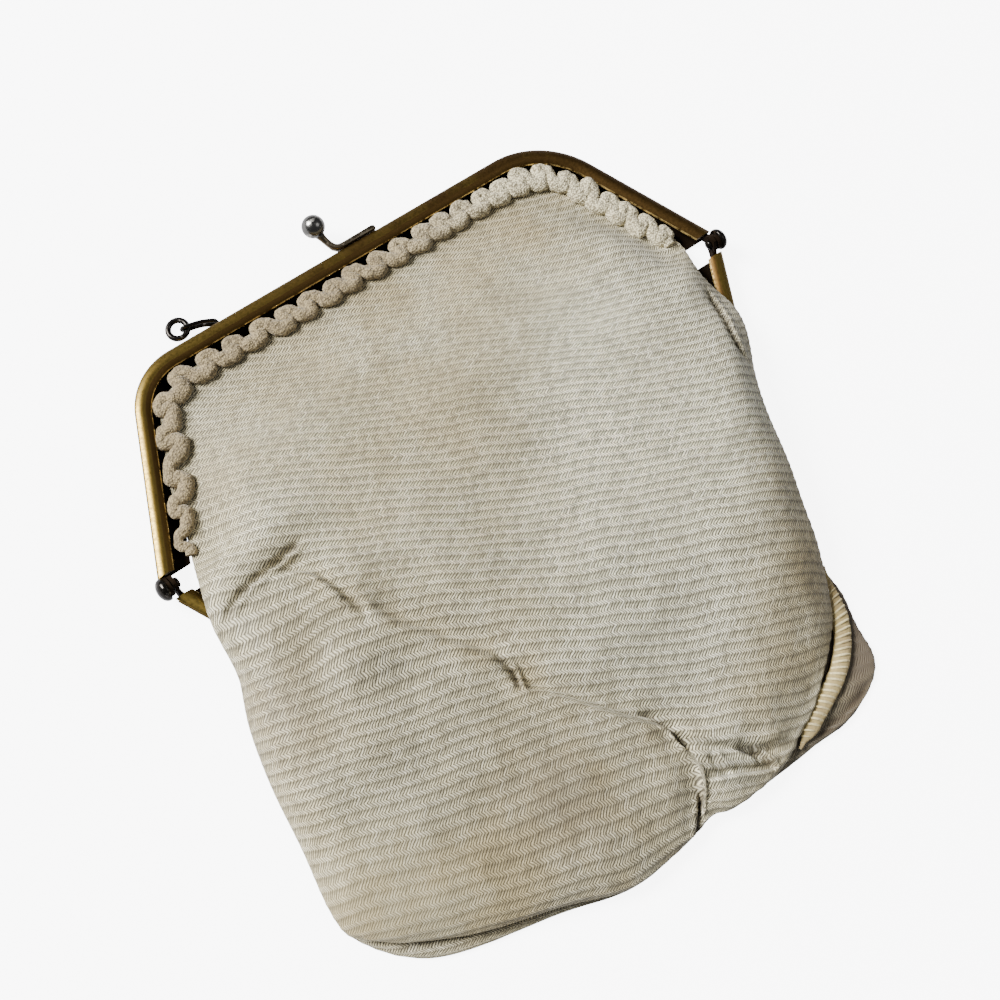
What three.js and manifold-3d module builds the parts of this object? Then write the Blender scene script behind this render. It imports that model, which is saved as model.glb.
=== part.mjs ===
// A small clasp-frame purse, frame opened flat, with its pouch pulled out through the mouth and laid
// over the back half of the frame, so that the silk lining is outermost.
// Millimetres. X runs along the hinge line, +Y towards the bar that shows, +Z up from the surface below.
import * as THREE from 'three';
import { mergeVertices } from 'three/addons/utils/BufferGeometryUtils.js';
import Module from 'manifold-3d';

const wasm = await Module();
wasm.setup();

// Brass frame: two like halves of folded sheet, J-shaped in section
const ARM_SPAN = 169.6; // across the arms' outer faces, on the hinge line
const FRAME_RISE = 48.3; // hinge line to the bar's outer face
const ARM_LEAN = 0.484; // inward lean of an arm for each millimetre of rise
const CORNER_RADII = { left: 17, right: 24 }; // the left corner has been knocked squarer
const CORNER_STEPS = 4;
const RIM_WIDTH = 4.0; // the wall that meets the other half
const FRAME_DEPTH = 5.0;
const FLANGE_WIDTH = 8.0; // the wall that the cloth is sewn to
const SHEET = 0.9;
const EDGE_ROUND = 0.7;
const ARM_END = 4.5; // the arms stop this far short of the hinge line
const NEST = 0.8; // the back half is this much narrower on each side

// Hinges
const PIVOT_HEIGHT = FRAME_DEPTH; // the axis lies in the plane where the halves meet
const EAR_RADIUS = 2.4;
const EAR_TAIL = 6.4;
const EAR_FOOT = 1.0;
const FRONT_EAR_X = 82.0; // inner face of the front half's ears
const BACK_EAR_X = 80.7;
const PIN_RADIUS = 0.8;
const HEAD_RADIUS = 2.4;
const HEAD_HEIGHT = 2.2;
const TAIL_RADIUS = 1.7;
const TAIL_HEIGHT = 0.9;
const GAP = 0.3; // clearance kept between neighbouring pieces

// Ball clasp, one half on each bar
const BALL_RADIUS = 2.9;
const BALL_AT = new THREE.Vector3(-3.4, 56.7, 5.5);
const STEM_RADIUS = 0.85;
const CLASP_FOOT = { from: -1.9, to: 10.0, thick: 1.3, low: 0.9, high: 4.1 };

// Chain eye and ring at the left end of the front bar
const EYE_WIRE = 0.42;
const EYE_ROOT_X = -36.5;
const EYE_REACH = new THREE.Vector2(-43.2, 51.8); // centre of the eye's round end, seen from above
const EYE_LOW = 0.55;
const EYE_HIGH = 2.9;
const RING_RADIUS = 2.35; // to the middle of the wire
const RING_WIRE = 0.55;
const RING_TILT = THREE.MathUtils.degToRad(13.7);
const RING_HEIGHT = 1.17;

// Ruched silk trim, sewn over the lining's edge inside the front half
const TRIM_INSET = 7.5; // its middle, from the frame's outer face
const TRIM_ENDS = 6.5; // it stops this far above the hinge line
const TRIM_PITCH = 8.0;
const TRIM_SWING = 1.35;
const TRIM_WIDTH = 3.7;
const TRIM_HEIGHT = 3.5;
const TRIM_TAPER = 14; // length over which it thins towards each end
const TRIM_SIDES = 8;
const STEPS_PER_PUFF = 5;

// Pouch cloth: lining and outer fabric together
const CLOTH = 1.4;
const SEWN_INSET = 5.6; // the cloth's edge on the flange, from the frame's outer face
const SEWN_FLAT = 5.4; // width that stays flat under the trim
const SEWN_RISE = 13; // width over which it then rises
const SEWN_HEIGHT = SHEET + GAP + CLOTH / 2;
const LAID_HEIGHT = CLOTH / 2; // middle of cloth that lies on the surface below
const ROLL_WIDTH = 10; // width of the round at the pouch's sides and foot
const ROLL_STEPS = 4;
const FLAT_STEPS = 24;
const LENGTH_STEPS = 27;

// Front panel below the hinges: its side edges and how high the cloth lies there
const FRONT_SIDES = [
  { y: 5, left: -75.6, right: 76.2, leftHem: 2.2, rightHem: 2.2 },
  { y: 0, left: -75.7, right: 74.0, leftHem: 4.6, rightHem: 4.6 },
  { y: -4, left: -76.6, right: 72.8, leftHem: 6.4, rightHem: 6.4 },
  { y: -8, left: -78.0, right: 72.4, leftHem: 6.5, rightHem: 6.5 },
  { y: -14, left: -79.6, right: 74.6, leftHem: 6.3, rightHem: 6.5 },
  { y: -20, left: -80.0, right: 74.3, leftHem: 4.6, rightHem: 6.4 },
  { y: -27, left: -80.8, right: 70.9, leftHem: 3.0, rightHem: 6.3 },
  { y: -34, left: -84.2, right: 66.2, leftHem: 2.6, rightHem: 6.2 },
  { y: -42, left: -86.6, right: 62.0, leftHem: 2.5, rightHem: 6.0 },
  { y: -52, left: -88.8, right: 59.4, leftHem: 2.5, rightHem: 5.8 },
  { y: -66, left: -90.8, right: 56.2, leftHem: 2.5, rightHem: 3.6 },
  { y: -78, left: -93.2, right: 53.4, leftHem: 2.5, rightHem: 2.5 },
  { y: -84, left: -93.6, right: 50.2, leftHem: 2.5, rightHem: 2.5 },
  { y: -94, left: -93.6, right: 45.0, leftHem: 2.5, rightHem: 2.5 },
  { y: -105, left: -93.6, right: 31.4, leftHem: 2.5, rightHem: 2.5 },
  { y: -116, left: -93.6, right: 15.0, leftHem: 2.5, rightHem: 2.5 },
];
const FRONT_CROWN = [
  { y: 43, height: 1.9 },
  { y: 30, height: 5.0 },
  { y: 15, height: 9.6 },
  { y: 0, height: 12.4 },
  { y: -14, height: 13.2 },
  { y: -32, height: 12.6 },
  { y: -50, height: 12.0 },
  { y: -62, height: 11.4 },
  { y: -80, height: 8.8 },
  { y: -96, height: 7.2 },
  { y: -117, height: 6.2 },
];
const FRONT_FOOT = [
  { x: -94, y: -84.0 },
  { x: -91, y: -88.5 },
  { x: -84, y: -94.6 },
  { x: -70, y: -102.2 },
  { x: -51, y: -108.8 },
  { x: -34, y: -113.4 },
  { x: -18, y: -114.6 },
  { x: 4, y: -115.4 },
  { x: 20, y: -114.0 },
];

// Creases and swells of the front panel: a straight run each, sunk (or raised, if negative) by depth
const FOLDS = [
  { x0: -50, y0: -8.7, x1: -66, y1: -11.2, depth: 2.4, width: 3.4 },
  { x0: -66, y0: -11.2, x1: -77, y1: -15.5, depth: 1.6, width: 3.2 },
  { x0: -62, y0: -12, x1: -52, y1: -26, depth: 1.2, width: 4 },
  { x0: -52, y0: -26, x1: -29.5, y1: -57.5, depth: 1.6, width: 5 },
  { x0: -29.5, y0: -57.5, x1: -29, y1: -65.8, depth: 2.2, width: 3.4 },
  { x0: -29, y0: -65.8, x1: -7, y1: -92, depth: 1.7, width: 5 },
  { x0: -7, y0: -92, x1: -6.3, y1: -103, depth: 2.6, width: 3.6 },
  { x0: -6.3, y0: -103, x1: -15, y1: -116, depth: 3.2, width: 3.6 },
  { x0: 8, y0: -107, x1: 10.5, y1: -116, depth: 1.5, width: 3.2 },
  { x0: 72.5, y0: -6, x1: 67.5, y1: -30, depth: 1.8, width: 2.6 },
  { x0: -36, y0: -28, x1: -4, y1: -76, depth: -1.3, width: 10 },
  { x0: -66, y0: -4, x1: -52, y1: -3, depth: -0.9, width: 6 },
  { x0: -70, y0: -26, x1: -60, y1: -60, depth: -1.0, width: 9 },
  { x0: -52, y0: -72, x1: -30, y1: -96, depth: -0.9, width: 11 },
  { x0: 16, y0: -96, x1: 30, y1: -82, depth: -1.0, width: 9 },
];

// Back panel: from the back flange to a turn at the hinge line, then back over the frame to the foot
const BACK_COURSE = [
  { y: -41.8, z: 1.9 },
  { y: -36, z: 2.1 },
  { y: -28, z: 3.0 },
  { y: -12, z: 3.2 },
  { y: -6.5, z: 3.25 },
  { y: -4.6, z: 4.0 },
  { y: -4.2, z: 4.9 },
  { y: -5.2, z: 5.8 },
  { y: -7.5, z: 6.2 },
  { y: -20, z: 6.2 },
  { y: -40, z: 6.2 },
  { y: -58, z: 6.2 },
  { y: -64, z: 5.0 },
  { y: -73, z: 1.7 },
  { y: -80, z: LAID_HEIGHT },
  { y: -98, z: LAID_HEIGHT },
  { y: -116, z: LAID_HEIGHT },
];
const BACK_TURN = 6; // index of the turn's outermost row
const BACK_RUNS = { first: 8, turn: 5, over: 16 }; // steps before, through and after the turn
const BACK_COLUMNS = [-1, -0.85, -0.6, -0.3, 0, 0.12, 0.24, 0.36, 0.48, 0.6, 0.72, 0.83, 0.91, 0.96, 1];
const BACK_TUCK = 1.9; // its sides stay this far inside the front panel's
const BACK_DROOP = 6.0; // where it overhangs the left arm by more than this, it reaches the surface below
const KNEE_LIMIT = 38; // the overhang is measured from the arm up to this distance from the hinge line
const BUMP = { flat: 11, spread: 24 }; // rounded rise over the hidden half of the clasp
const CORNER_SIDES = [
  { y: -70, right: 53.4 },
  { y: -80, right: 53.0 },
  { y: -86, right: 52.3 },
  { y: -98, right: 49.9 },
  { y: -108, right: 48.4 },
  { y: -117, right: 42.0 },
];
const BACK_FOOT = [
  { x: -94, y: -84.5 },
  { x: -90.5, y: -92.0 },
  { x: -86, y: -97.8 },
  { x: -80.5, y: -102.0 },
  { x: -71, y: -105.6 },
  { x: -47, y: -111.6 },
  { x: -32, y: -115.4 },
  { x: -8, y: -115.2 },
  { x: 12, y: -116.4 },
  { x: 34, y: -114.6 },
  { x: 42, y: -111.8 },
  { x: 46, y: -107.5 },
];
const FOOT_FROM = -80; // from here down the rows follow the foot's own outline

// Taped side seam, turned up on top of the back panel at the lower right
const SEAM_OFFSET = 2.7; // its middle, outside the front panel's edge
const SEAM_WIDTH = 3.2;
const SEAM_THICK = 1.2;
const SEAM_SPAN = { from: -88.5, to: -111.5 };
const SEAM_STEPS = 14;
const SEAM_WAVE = 0.35;

const finishes = {
  gilt: { color: 0x9a7b3f, roughness: 0.42, metalness: 0.9 },
  blackened: { color: 0x2b2621, roughness: 0.4, metalness: 0.8 },
  nickel: { color: 0x6d6a66, roughness: 0.25, metalness: 0.95 },
  ruching: { color: 0xb8ae96, roughness: 0.85, metalness: 0 },
  silk: { color: 0xc2bcaa, roughness: 0.8, metalness: 0 },
  tape: { color: 0xb5a98a, roughness: 0.85, metalness: 0 },
};

function piece(name, geometry, finish) {
  const mesh = new THREE.Mesh(geometry, new THREE.MeshStandardMaterial(finishes[finish]));
  mesh.name = name;
  return mesh;
}

// Smooth curve through a table's rows, read at one value of its first column
function tableValue(rows, key, column, at) {
  const sign = rows[rows.length - 1][key] > rows[0][key] ? 1 : -1;
  let i = 0;
  while (i < rows.length - 2 && (at - rows[i + 1][key]) * sign > 0) i += 1;
  const slope = (k) => {
    const a = rows[Math.max(k - 1, 0)];
    const b = rows[Math.min(k + 1, rows.length - 1)];
    return (b[column] - a[column]) / (b[key] - a[key]);
  };
  const span = rows[i + 1][key] - rows[i][key];
  const u = THREE.MathUtils.clamp((at - rows[i][key]) / span, 0, 1);
  const rest = 1 - u;
  return rest * rest * (1 + 2 * u) * rows[i][column] + u * u * (3 - 2 * u) * rows[i + 1][column]
    + span * u * rest * (rest * slope(i) - u * slope(i + 1));
}

// Closed body from points and triangles, turned so that its faces point out
function closedBody(points, triangles) {
  const geometry = new THREE.BufferGeometry();
  geometry.setAttribute('position', new THREE.Float32BufferAttribute(points.flatMap((p) => p.toArray()), 3));
  const cross = new THREE.Vector3();
  const volume = triangles.reduce(
    (sum, [a, b, c]) => sum + points[a].dot(cross.crossVectors(points[b], points[c])), 0);
  const outward = volume > 0 ? triangles : triangles.map(([a, b, c]) => [a, c, b]);
  geometry.setIndex(outward.flat());
  geometry.computeVertexNormals();
  return geometry;
}

// Tube or bar lofted through rings of equal count; outline is the ring's own flat shape, for the ends
function loft(rings, outline) {
  const count = rings[0].length;
  const triangles = [];
  for (let j = 0; j < rings.length - 1; j += 1) {
    for (let i = 0; i < count; i += 1) {
      const a = j * count + i;
      const b = j * count + (i + 1) % count;
      triangles.push([a, b, b + count], [a, b + count, a + count]);
    }
  }
  const last = (rings.length - 1) * count;
  THREE.ShapeUtils.triangulateShape(outline, []).forEach(([a, b, c]) => {
    const side = THREE.ShapeUtils.isClockWise(outline) ? [a, b, c] : [a, c, b];
    triangles.push(side, [last + side[0], last + side[2], last + side[1]]);
  });
  return closedBody(rings.flat(), triangles);
}

// Cloth of even thickness about a grid of points, grid[row][column]
function clothSolid(grid) {
  const rows = grid.length;
  const columns = grid[0].length;
  const at = (j, i) => grid[THREE.MathUtils.clamp(j, 0, rows - 1)][THREE.MathUtils.clamp(i, 0, columns - 1)];
  const upper = [];
  const under = [];
  for (let j = 0; j < rows; j += 1) {
    for (let i = 0; i < columns; i += 1) {
      const across = at(j, i + 1).clone().sub(at(j, i - 1));
      const along = at(j + 1, i).clone().sub(at(j - 1, i));
      const normal = along.cross(across).normalize().multiplyScalar(CLOTH / 2);
      upper.push(at(j, i).clone().add(normal));
      under.push(at(j, i).clone().sub(normal));
    }
  }
  const triangles = [];
  const quad = (a, b, c, d) => triangles.push([a, b, c], [a, c, d]);
  const top = (j, i) => j * columns + i;
  const low = (j, i) => rows * columns + j * columns + i;
  for (let j = 0; j < rows - 1; j += 1) {
    for (let i = 0; i < columns - 1; i += 1) {
      quad(top(j, i), top(j + 1, i), top(j + 1, i + 1), top(j, i + 1));
      quad(low(j, i), low(j, i + 1), low(j + 1, i + 1), low(j + 1, i));
    }
    quad(top(j, 0), low(j, 0), low(j + 1, 0), top(j + 1, 0));
    quad(top(j, columns - 1), top(j + 1, columns - 1), low(j + 1, columns - 1), low(j, columns - 1));
  }
  for (let i = 0; i < columns - 1; i += 1) {
    quad(top(0, i), top(0, i + 1), low(0, i + 1), low(0, i));
    quad(top(rows - 1, i), low(rows - 1, i), low(rows - 1, i + 1), top(rows - 1, i + 1));
  }
  return closedBody([...upper, ...under], triangles);
}

// Several closed geometries joined into one solid
function joined(geometries) {
  const solids = geometries.map((geometry) => {
    const bare = geometry.clone();
    bare.deleteAttribute('normal');
    bare.deleteAttribute('uv');
    const merged = mergeVertices(bare, 1e-4);
    return new wasm.Manifold(new wasm.Mesh({
      numProp: 3,
      vertProperties: new Float32Array(merged.attributes.position.array),
      triVerts: new Uint32Array(merged.index.array),
    }));
  });
  const mesh = solids.reduce((sum, solid) => sum.add(solid)).getMesh();
  const geometry = new THREE.BufferGeometry();
  geometry.setAttribute('position', new THREE.BufferAttribute(new Float32Array(mesh.vertProperties), 3));
  geometry.setIndex(new THREE.BufferAttribute(new Uint32Array(mesh.triVerts), 1));
  geometry.computeVertexNormals();
  return geometry;
}

const armAngle = Math.atan(ARM_LEAN);

// One rounded corner of a half in plan, inset from the half's outer face
function frameCorner(inset, narrower, cornerRadius) {
  const half = ARM_SPAN / 2 - narrower - inset / Math.cos(armAngle);
  const top = FRAME_RISE - inset;
  const radius = cornerRadius - inset;
  const setback = radius * Math.tan((Math.PI / 2 - armAngle) / 2);
  return { half, radius, x: half - ARM_LEAN * top - setback, y: top - radius };
}

// That half's outline, from the left arm's end to the right arm's end
function frameCurve(inset, armEnd, narrower = 0, radii = CORNER_RADII) {
  const left = frameCorner(inset, narrower, radii.left);
  const right = frameCorner(inset, narrower, radii.right);
  const path = new THREE.Path();
  path.moveTo(ARM_LEAN * armEnd - left.half, armEnd);
  path.lineTo(-left.x - left.radius * Math.cos(armAngle), left.y + left.radius * Math.sin(armAngle));
  path.absarc(-left.x, left.y, left.radius, Math.PI - armAngle, Math.PI / 2, true);
  path.absarc(right.x, right.y, right.radius, Math.PI / 2, armAngle, true);
  path.lineTo(right.half - ARM_LEAN * armEnd, armEnd);
  return path;
}

// How far that outline's left or right side lies from the middle, at one distance from the hinge line
function frameReach(side, inset, y, narrower = 0) {
  const corner = frameCorner(inset, narrower, CORNER_RADII[side]);
  const rise = y - corner.y;
  if (rise < corner.radius * Math.sin(armAngle)) return corner.half - ARM_LEAN * y;
  return corner.x + Math.sqrt(Math.max(corner.radius ** 2 - rise ** 2, 0));
}

// Folded sheet: flange below, outer wall, rim above with a rounded outer edge
function frameSheet(narrower, radii) {
  const section = [
    [0, EDGE_ROUND], [EDGE_ROUND, 0],
    [FLANGE_WIDTH, 0], [FLANGE_WIDTH, SHEET],
    [SHEET, SHEET], [SHEET, FRAME_DEPTH - SHEET],
    [RIM_WIDTH, FRAME_DEPTH - SHEET], [RIM_WIDTH, FRAME_DEPTH],
    [EDGE_ROUND, FRAME_DEPTH], [EDGE_ROUND * 0.29, FRAME_DEPTH - EDGE_ROUND * 0.29],
    [0, FRAME_DEPTH - EDGE_ROUND],
  ];
  const runs = section.map(([inset]) => frameCurve(inset, ARM_END, narrower, radii).getPoints(CORNER_STEPS));
  const rings = runs[0].map((_, j) => section.map(
    ([, height], i) => new THREE.Vector3(runs[i][j].x, runs[i][j].y, height)));
  return loft(rings, section.map(([inset, height]) => new THREE.Vector2(inset, height)));
}

// Hinge ear: a plate across the hinge line with a round end and a pin hole
function ear(innerX, side) {
  const shape = new THREE.Shape();
  shape.moveTo(EAR_TAIL, EAR_FOOT);
  shape.lineTo(EAR_TAIL, FRAME_DEPTH - SHEET);
  shape.absarc(0, PIVOT_HEIGHT, EAR_RADIUS, Math.PI / 3, Math.PI * 1.5, false);
  shape.lineTo(ARM_END, EAR_FOOT);
  const hole = new THREE.Path();
  hole.absarc(0, PIVOT_HEIGHT, PIN_RADIUS + GAP, 0, Math.PI * 2, true);
  shape.holes.push(hole);
  const plate = new THREE.ExtrudeGeometry(shape, { depth: SHEET, bevelEnabled: false, curveSegments: 7 });
  // the shape's own axes become Y and Z, and its depth X
  const turned = new THREE.Matrix4().makeBasis(
    new THREE.Vector3(0, 1, 0), new THREE.Vector3(0, 0, 1), new THREE.Vector3(1, 0, 0));
  plate.applyMatrix4(turned);
  plate.translate(side > 0 ? innerX : -innerX - SHEET, 0, 0);
  return plate;
}

function frameHalf(name, earX, narrower, radii) {
  const half = joined([frameSheet(narrower, radii), ear(earX, -1), ear(earX, 1)]);
  return piece(name, half, 'gilt');
}

// Domed rivet through both ears, drawn along +X and turned to face outwards
function hingeRivet(name, side) {
  const tailEnd = BACK_EAR_X - GAP - TAIL_HEIGHT;
  const headStart = FRONT_EAR_X + SHEET + GAP;
  const profile = [
    new THREE.Vector2(0, tailEnd),
    new THREE.Vector2(TAIL_RADIUS * 0.75, tailEnd),
    new THREE.Vector2(TAIL_RADIUS, tailEnd + TAIL_HEIGHT * 0.5),
    new THREE.Vector2(TAIL_RADIUS, tailEnd + TAIL_HEIGHT),
    new THREE.Vector2(PIN_RADIUS, tailEnd + TAIL_HEIGHT),
    new THREE.Vector2(PIN_RADIUS, headStart),
    new THREE.Vector2(HEAD_RADIUS, headStart),
    new THREE.Vector2(HEAD_RADIUS, headStart + HEAD_HEIGHT * 0.35),
    new THREE.Vector2(HEAD_RADIUS * 0.72, headStart + HEAD_HEIGHT * 0.8),
    new THREE.Vector2(0, headStart + HEAD_HEIGHT),
  ];
  const rivet = piece(name, new THREE.LatheGeometry(profile, 12), 'blackened');
  rivet.rotation.z = side * -Math.PI / 2;
  rivet.position.z = PIVOT_HEIGHT;
  return rivet;
}

// Half of the clasp: a strip along the bar's outer face, bent up into a stem with a ball
function claspHalf(name) {
  const face = FRAME_RISE + GAP;
  const { from, to, thick, low, high } = CLASP_FOOT;
  const strip = new THREE.Shape();
  const round = thick / 2;
  strip.moveTo(from, 0);
  strip.lineTo(to - round, 0);
  strip.absarc(to - round, round, round, -Math.PI / 2, Math.PI / 2, false);
  strip.lineTo(from + round, thick);
  strip.absarc(from + round, round, round, Math.PI / 2, Math.PI, false);
  const foot = new THREE.ExtrudeGeometry(strip, { depth: high - low, bevelEnabled: false, curveSegments: 4 });
  foot.translate(0, face, low);
  const root = new THREE.Vector3(from + 1.4, face + round, (low + high) / 2);
  const bend = new THREE.Vector3(from - 0.6, face + thick + 0.6, root.z + 0.4);
  const route = new THREE.QuadraticBezierCurve3(root, bend, BALL_AT);
  const wire = new THREE.Shape();
  wire.absarc(0, 0, STEM_RADIUS, 0, Math.PI * 2, false);
  const stem = new THREE.ExtrudeGeometry(wire, { steps: 7, curveSegments: 5, extrudePath: route });
  const ball = new THREE.SphereGeometry(BALL_RADIUS, 14, 9);
  ball.translate(BALL_AT.x, BALL_AT.y, BALL_AT.z);
  return piece(name, joined([foot, stem, ball]), 'nickel');
}

// Wire eye that stands on the bar's outer face and holds the ring
function chainEye(name) {
  const face = FRAME_RISE + GAP;
  const rise = (EYE_HIGH - EYE_LOW) / 2;
  const middle = (EYE_HIGH + EYE_LOW) / 2;
  const start = new THREE.Vector2(EYE_ROOT_X, face + 1.6);
  const aim = EYE_REACH.clone().sub(start).normalize();
  const upperLeg = [
    new THREE.Vector3(EYE_ROOT_X, face, EYE_HIGH),
    new THREE.Vector3(EYE_ROOT_X - 0.2, face + 0.8, EYE_HIGH),
    new THREE.Vector3(start.x - 0.9, start.y - 0.3, EYE_HIGH),
    new THREE.Vector3((start.x + EYE_REACH.x) / 2, (start.y + EYE_REACH.y) / 2, EYE_HIGH),
  ];
  const bow = [90, 45, 0, -45, -90].map((degrees) => {
    const angle = THREE.MathUtils.degToRad(degrees);
    const out = rise * Math.cos(angle);
    return new THREE.Vector3(
      EYE_REACH.x + aim.x * out, EYE_REACH.y + aim.y * out, middle + rise * Math.sin(angle));
  });
  const lowerLeg = upperLeg.map((p) => new THREE.Vector3(p.x, p.y, EYE_LOW)).reverse();
  const route = new THREE.CatmullRomCurve3([...upperLeg, ...bow, ...lowerLeg], false, 'centripetal');
  const wire = new THREE.Shape();
  wire.absarc(0, 0, EYE_WIRE, 0, Math.PI * 2, false);
  const eye = new THREE.ExtrudeGeometry(wire, { steps: 26, curveSegments: 3, extrudePath: route });
  return piece(name, eye, 'blackened');
}

// Ring threaded on the eye, its near side between the eye's legs and its far side leaning down
function chainRing(name) {
  const ring = piece(name, new THREE.TorusGeometry(RING_RADIUS, RING_WIRE, 6, 16), 'nickel');
  const aim = EYE_REACH.clone().sub(new THREE.Vector2(EYE_ROOT_X, FRAME_RISE)).normalize();
  const near = EYE_REACH.clone().addScaledVector(aim, -0.3);
  const centre = near.addScaledVector(aim, RING_RADIUS);
  ring.position.set(centre.x, centre.y, RING_HEIGHT);
  ring.rotation.set(0, RING_TILT, Math.atan2(aim.y, aim.x), 'ZYX');
  return ring;
}

// Ruched trim: a soft roll that swings from side to side in puffs and thins at both ends
function ruchedTrim(name) {
  const path = frameCurve(TRIM_INSET, TRIM_ENDS);
  const length = path.getLength();
  const puffs = Math.round(length / TRIM_PITCH);
  const steps = puffs * STEPS_PER_PUFF;
  const outline = Array.from({ length: TRIM_SIDES }, (_, i) => {
    const angle = i / TRIM_SIDES * Math.PI * 2;
    return new THREE.Vector2(Math.cos(angle), Math.sin(angle));
  });
  const base = SEWN_HEIGHT + CLOTH / 2 + GAP;
  const rings = Array.from({ length: steps + 1 }, (_, j) => {
    const u = j / steps;
    const point = path.getPointAt(u);
    const tangent = path.getTangentAt(u);
    const inward = new THREE.Vector2(tangent.y, -tangent.x);
    const toEnd = Math.min(u, 1 - u) * length;
    const full = 0.5 + 0.5 * THREE.MathUtils.smoothstep(toEnd, 0, TRIM_TAPER);
    const phase = u * puffs * Math.PI * 2;
    const swing = TRIM_SWING * full * Math.sin(phase);
    const puff = 0.88 + 0.12 * Math.abs(Math.sin(phase));
    const halfWidth = TRIM_WIDTH / 2 * full;
    const halfHeight = TRIM_HEIGHT / 2 * full * puff;
    return outline.map((corner) => {
      const across = swing + corner.x * halfWidth;
      return new THREE.Vector3(
        point.x + inward.x * across, point.y + inward.y * across, base + halfHeight * (1 + corner.y));
    });
  });
  return piece(name, loft(rings, outline), 'ruching');
}

// Depth of the strongest crease at a point, and the swells added to it
function foldDepth(x, y) {
  let crease = 0;
  let swell = 0;
  FOLDS.forEach(({ x0, y0, x1, y1, depth, width }) => {
    const run = (x1 - x0) ** 2 + (y1 - y0) ** 2;
    const u = THREE.MathUtils.clamp(((x - x0) * (x1 - x0) + (y - y0) * (y1 - y0)) / run, 0, 1);
    const off = Math.hypot(x - x0 - u * (x1 - x0), y - y0 - u * (y1 - y0)) / width;
    const amount = depth * Math.exp(-off * off);
    if (depth > 0) crease = Math.max(crease, amount);
    else swell += amount;
  });
  return crease + swell;
}

function frontSide(column, y) {
  if (y > FRONT_SIDES[0].y) return frameReach(column, SEWN_INSET, y) * (column === 'left' ? -1 : 1);
  return tableValue(FRONT_SIDES, 'y', column, y);
}

// Height of the front panel's middle, from its distance to each edge
function frontHeight(x, y, toLeft, toRight, toFoot) {
  const crown = tableValue(FRONT_CROWN, 'y', 'height', y) - foldDepth(x, y);
  const toSide = Math.min(toLeft, toRight);
  const toBar = FRAME_RISE - SEWN_INSET - y;
  const lift = (distance) => THREE.MathUtils.smoothstep(distance, SEWN_FLAT, SEWN_FLAT + SEWN_RISE);
  const roll = (distance) => {
    const u = 1 - Math.min(distance / ROLL_WIDTH, 1);
    return Math.sqrt(1 - u * u);
  };
  const free = THREE.MathUtils.smoothstep(-y, -5, 5);
  const sewn = SEWN_HEIGHT + (crown - SEWN_HEIGHT) * lift(toSide) * lift(toBar);
  const hem = tableValue(FRONT_SIDES, 'y', toLeft < toRight ? 'leftHem' : 'rightHem', y);
  const loose = hem + (crown - hem) * roll(toSide) * roll(toFoot);
  return THREE.MathUtils.lerp(sewn, loose, free);
}

// Steps that follow the round at one end closely and are even elsewhere: distances from that end
function rolledSteps(total, flatSteps, bothEnds) {
  const round = Array.from({ length: ROLL_STEPS }, (_, i) =>
    ROLL_WIDTH * (1 - Math.cos(i / ROLL_STEPS * Math.PI / 2)));
  const flat = total - ROLL_WIDTH * (bothEnds ? 2 : 1);
  const even = Array.from({ length: flatSteps + 1 }, (_, i) => ROLL_WIDTH + flat * i / flatSteps);
  const far = bothEnds ? round.map((d) => total - d).reverse() : [];
  return [...round, ...even, ...far];
}

// Where a column that starts at each x meets the foot's outline
function footAt(rows, columnX) {
  let y = rows[Math.floor(rows.length / 2)].y;
  for (let i = 0; i < 6; i += 1) y = tableValue(rows, 'x', 'y', columnX(y));
  return y;
}

function frontPanel(name) {
  const top = FRAME_RISE - SEWN_INSET;
  const widest = 2 * ROLL_WIDTH + FLAT_STEPS;
  const columns = rolledSteps(widest, FLAT_STEPS, true).map((share) => {
    const even = (share - ROLL_WIDTH) / FLAT_STEPS;
    const columnX = (y) => {
      const left = frontSide('left', y);
      const right = frontSide('right', y);
      if (even < 0) return left + share;
      if (even > 1) return right - (widest - share);
      return left + ROLL_WIDTH + even * (right - left - 2 * ROLL_WIDTH);
    };
    const foot = footAt(FRONT_FOOT, columnX);
    return rolledSteps(top - foot, LENGTH_STEPS, false).reverse().map((toFoot) => {
      const y = foot + toFoot;
      const x = columnX(y);
      const height = frontHeight(x, y, x - frontSide('left', y), frontSide('right', y) - x, toFoot);
      return new THREE.Vector3(x, y, height);
    });
  });
  const grid = columns[0].map((_, j) => columns.map((column) => column[j]));
  return piece(name, clothSolid(grid), 'silk');
}

// Rise of the back panel where it passes over the hidden half of the clasp
function claspBump(x, y, z) {
  const off = Math.hypot(x + BALL_AT.x, y + BALL_AT.y);
  const clear = BALL_AT.z + BALL_RADIUS + GAP + CLOTH / 2;
  return Math.max(clear - z, 0) * (1 - THREE.MathUtils.smoothstep(off, BUMP.flat, BUMP.spread));
}

// The back panel's sides where it returns over the frame: tucked under the front panel, then in sight
function backSides(y) {
  const emerge = THREE.MathUtils.smoothstep(-y, -CORNER_SIDES[0].y, 4 - FOOT_FROM);
  const seen = tableValue(CORNER_SIDES, 'y', 'right', y);
  const right = THREE.MathUtils.lerp(frontSide('right', y) - BACK_TUCK, seen, emerge);
  const left = frontSide('left', y) + BACK_TUCK * (1 - emerge);
  const arm = -frameReach('left', 0, Math.min(-y, KNEE_LIMIT), NEST) - 4 * GAP;
  return { left, right, knee: Math.max(arm, left + GAP) };
}

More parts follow.
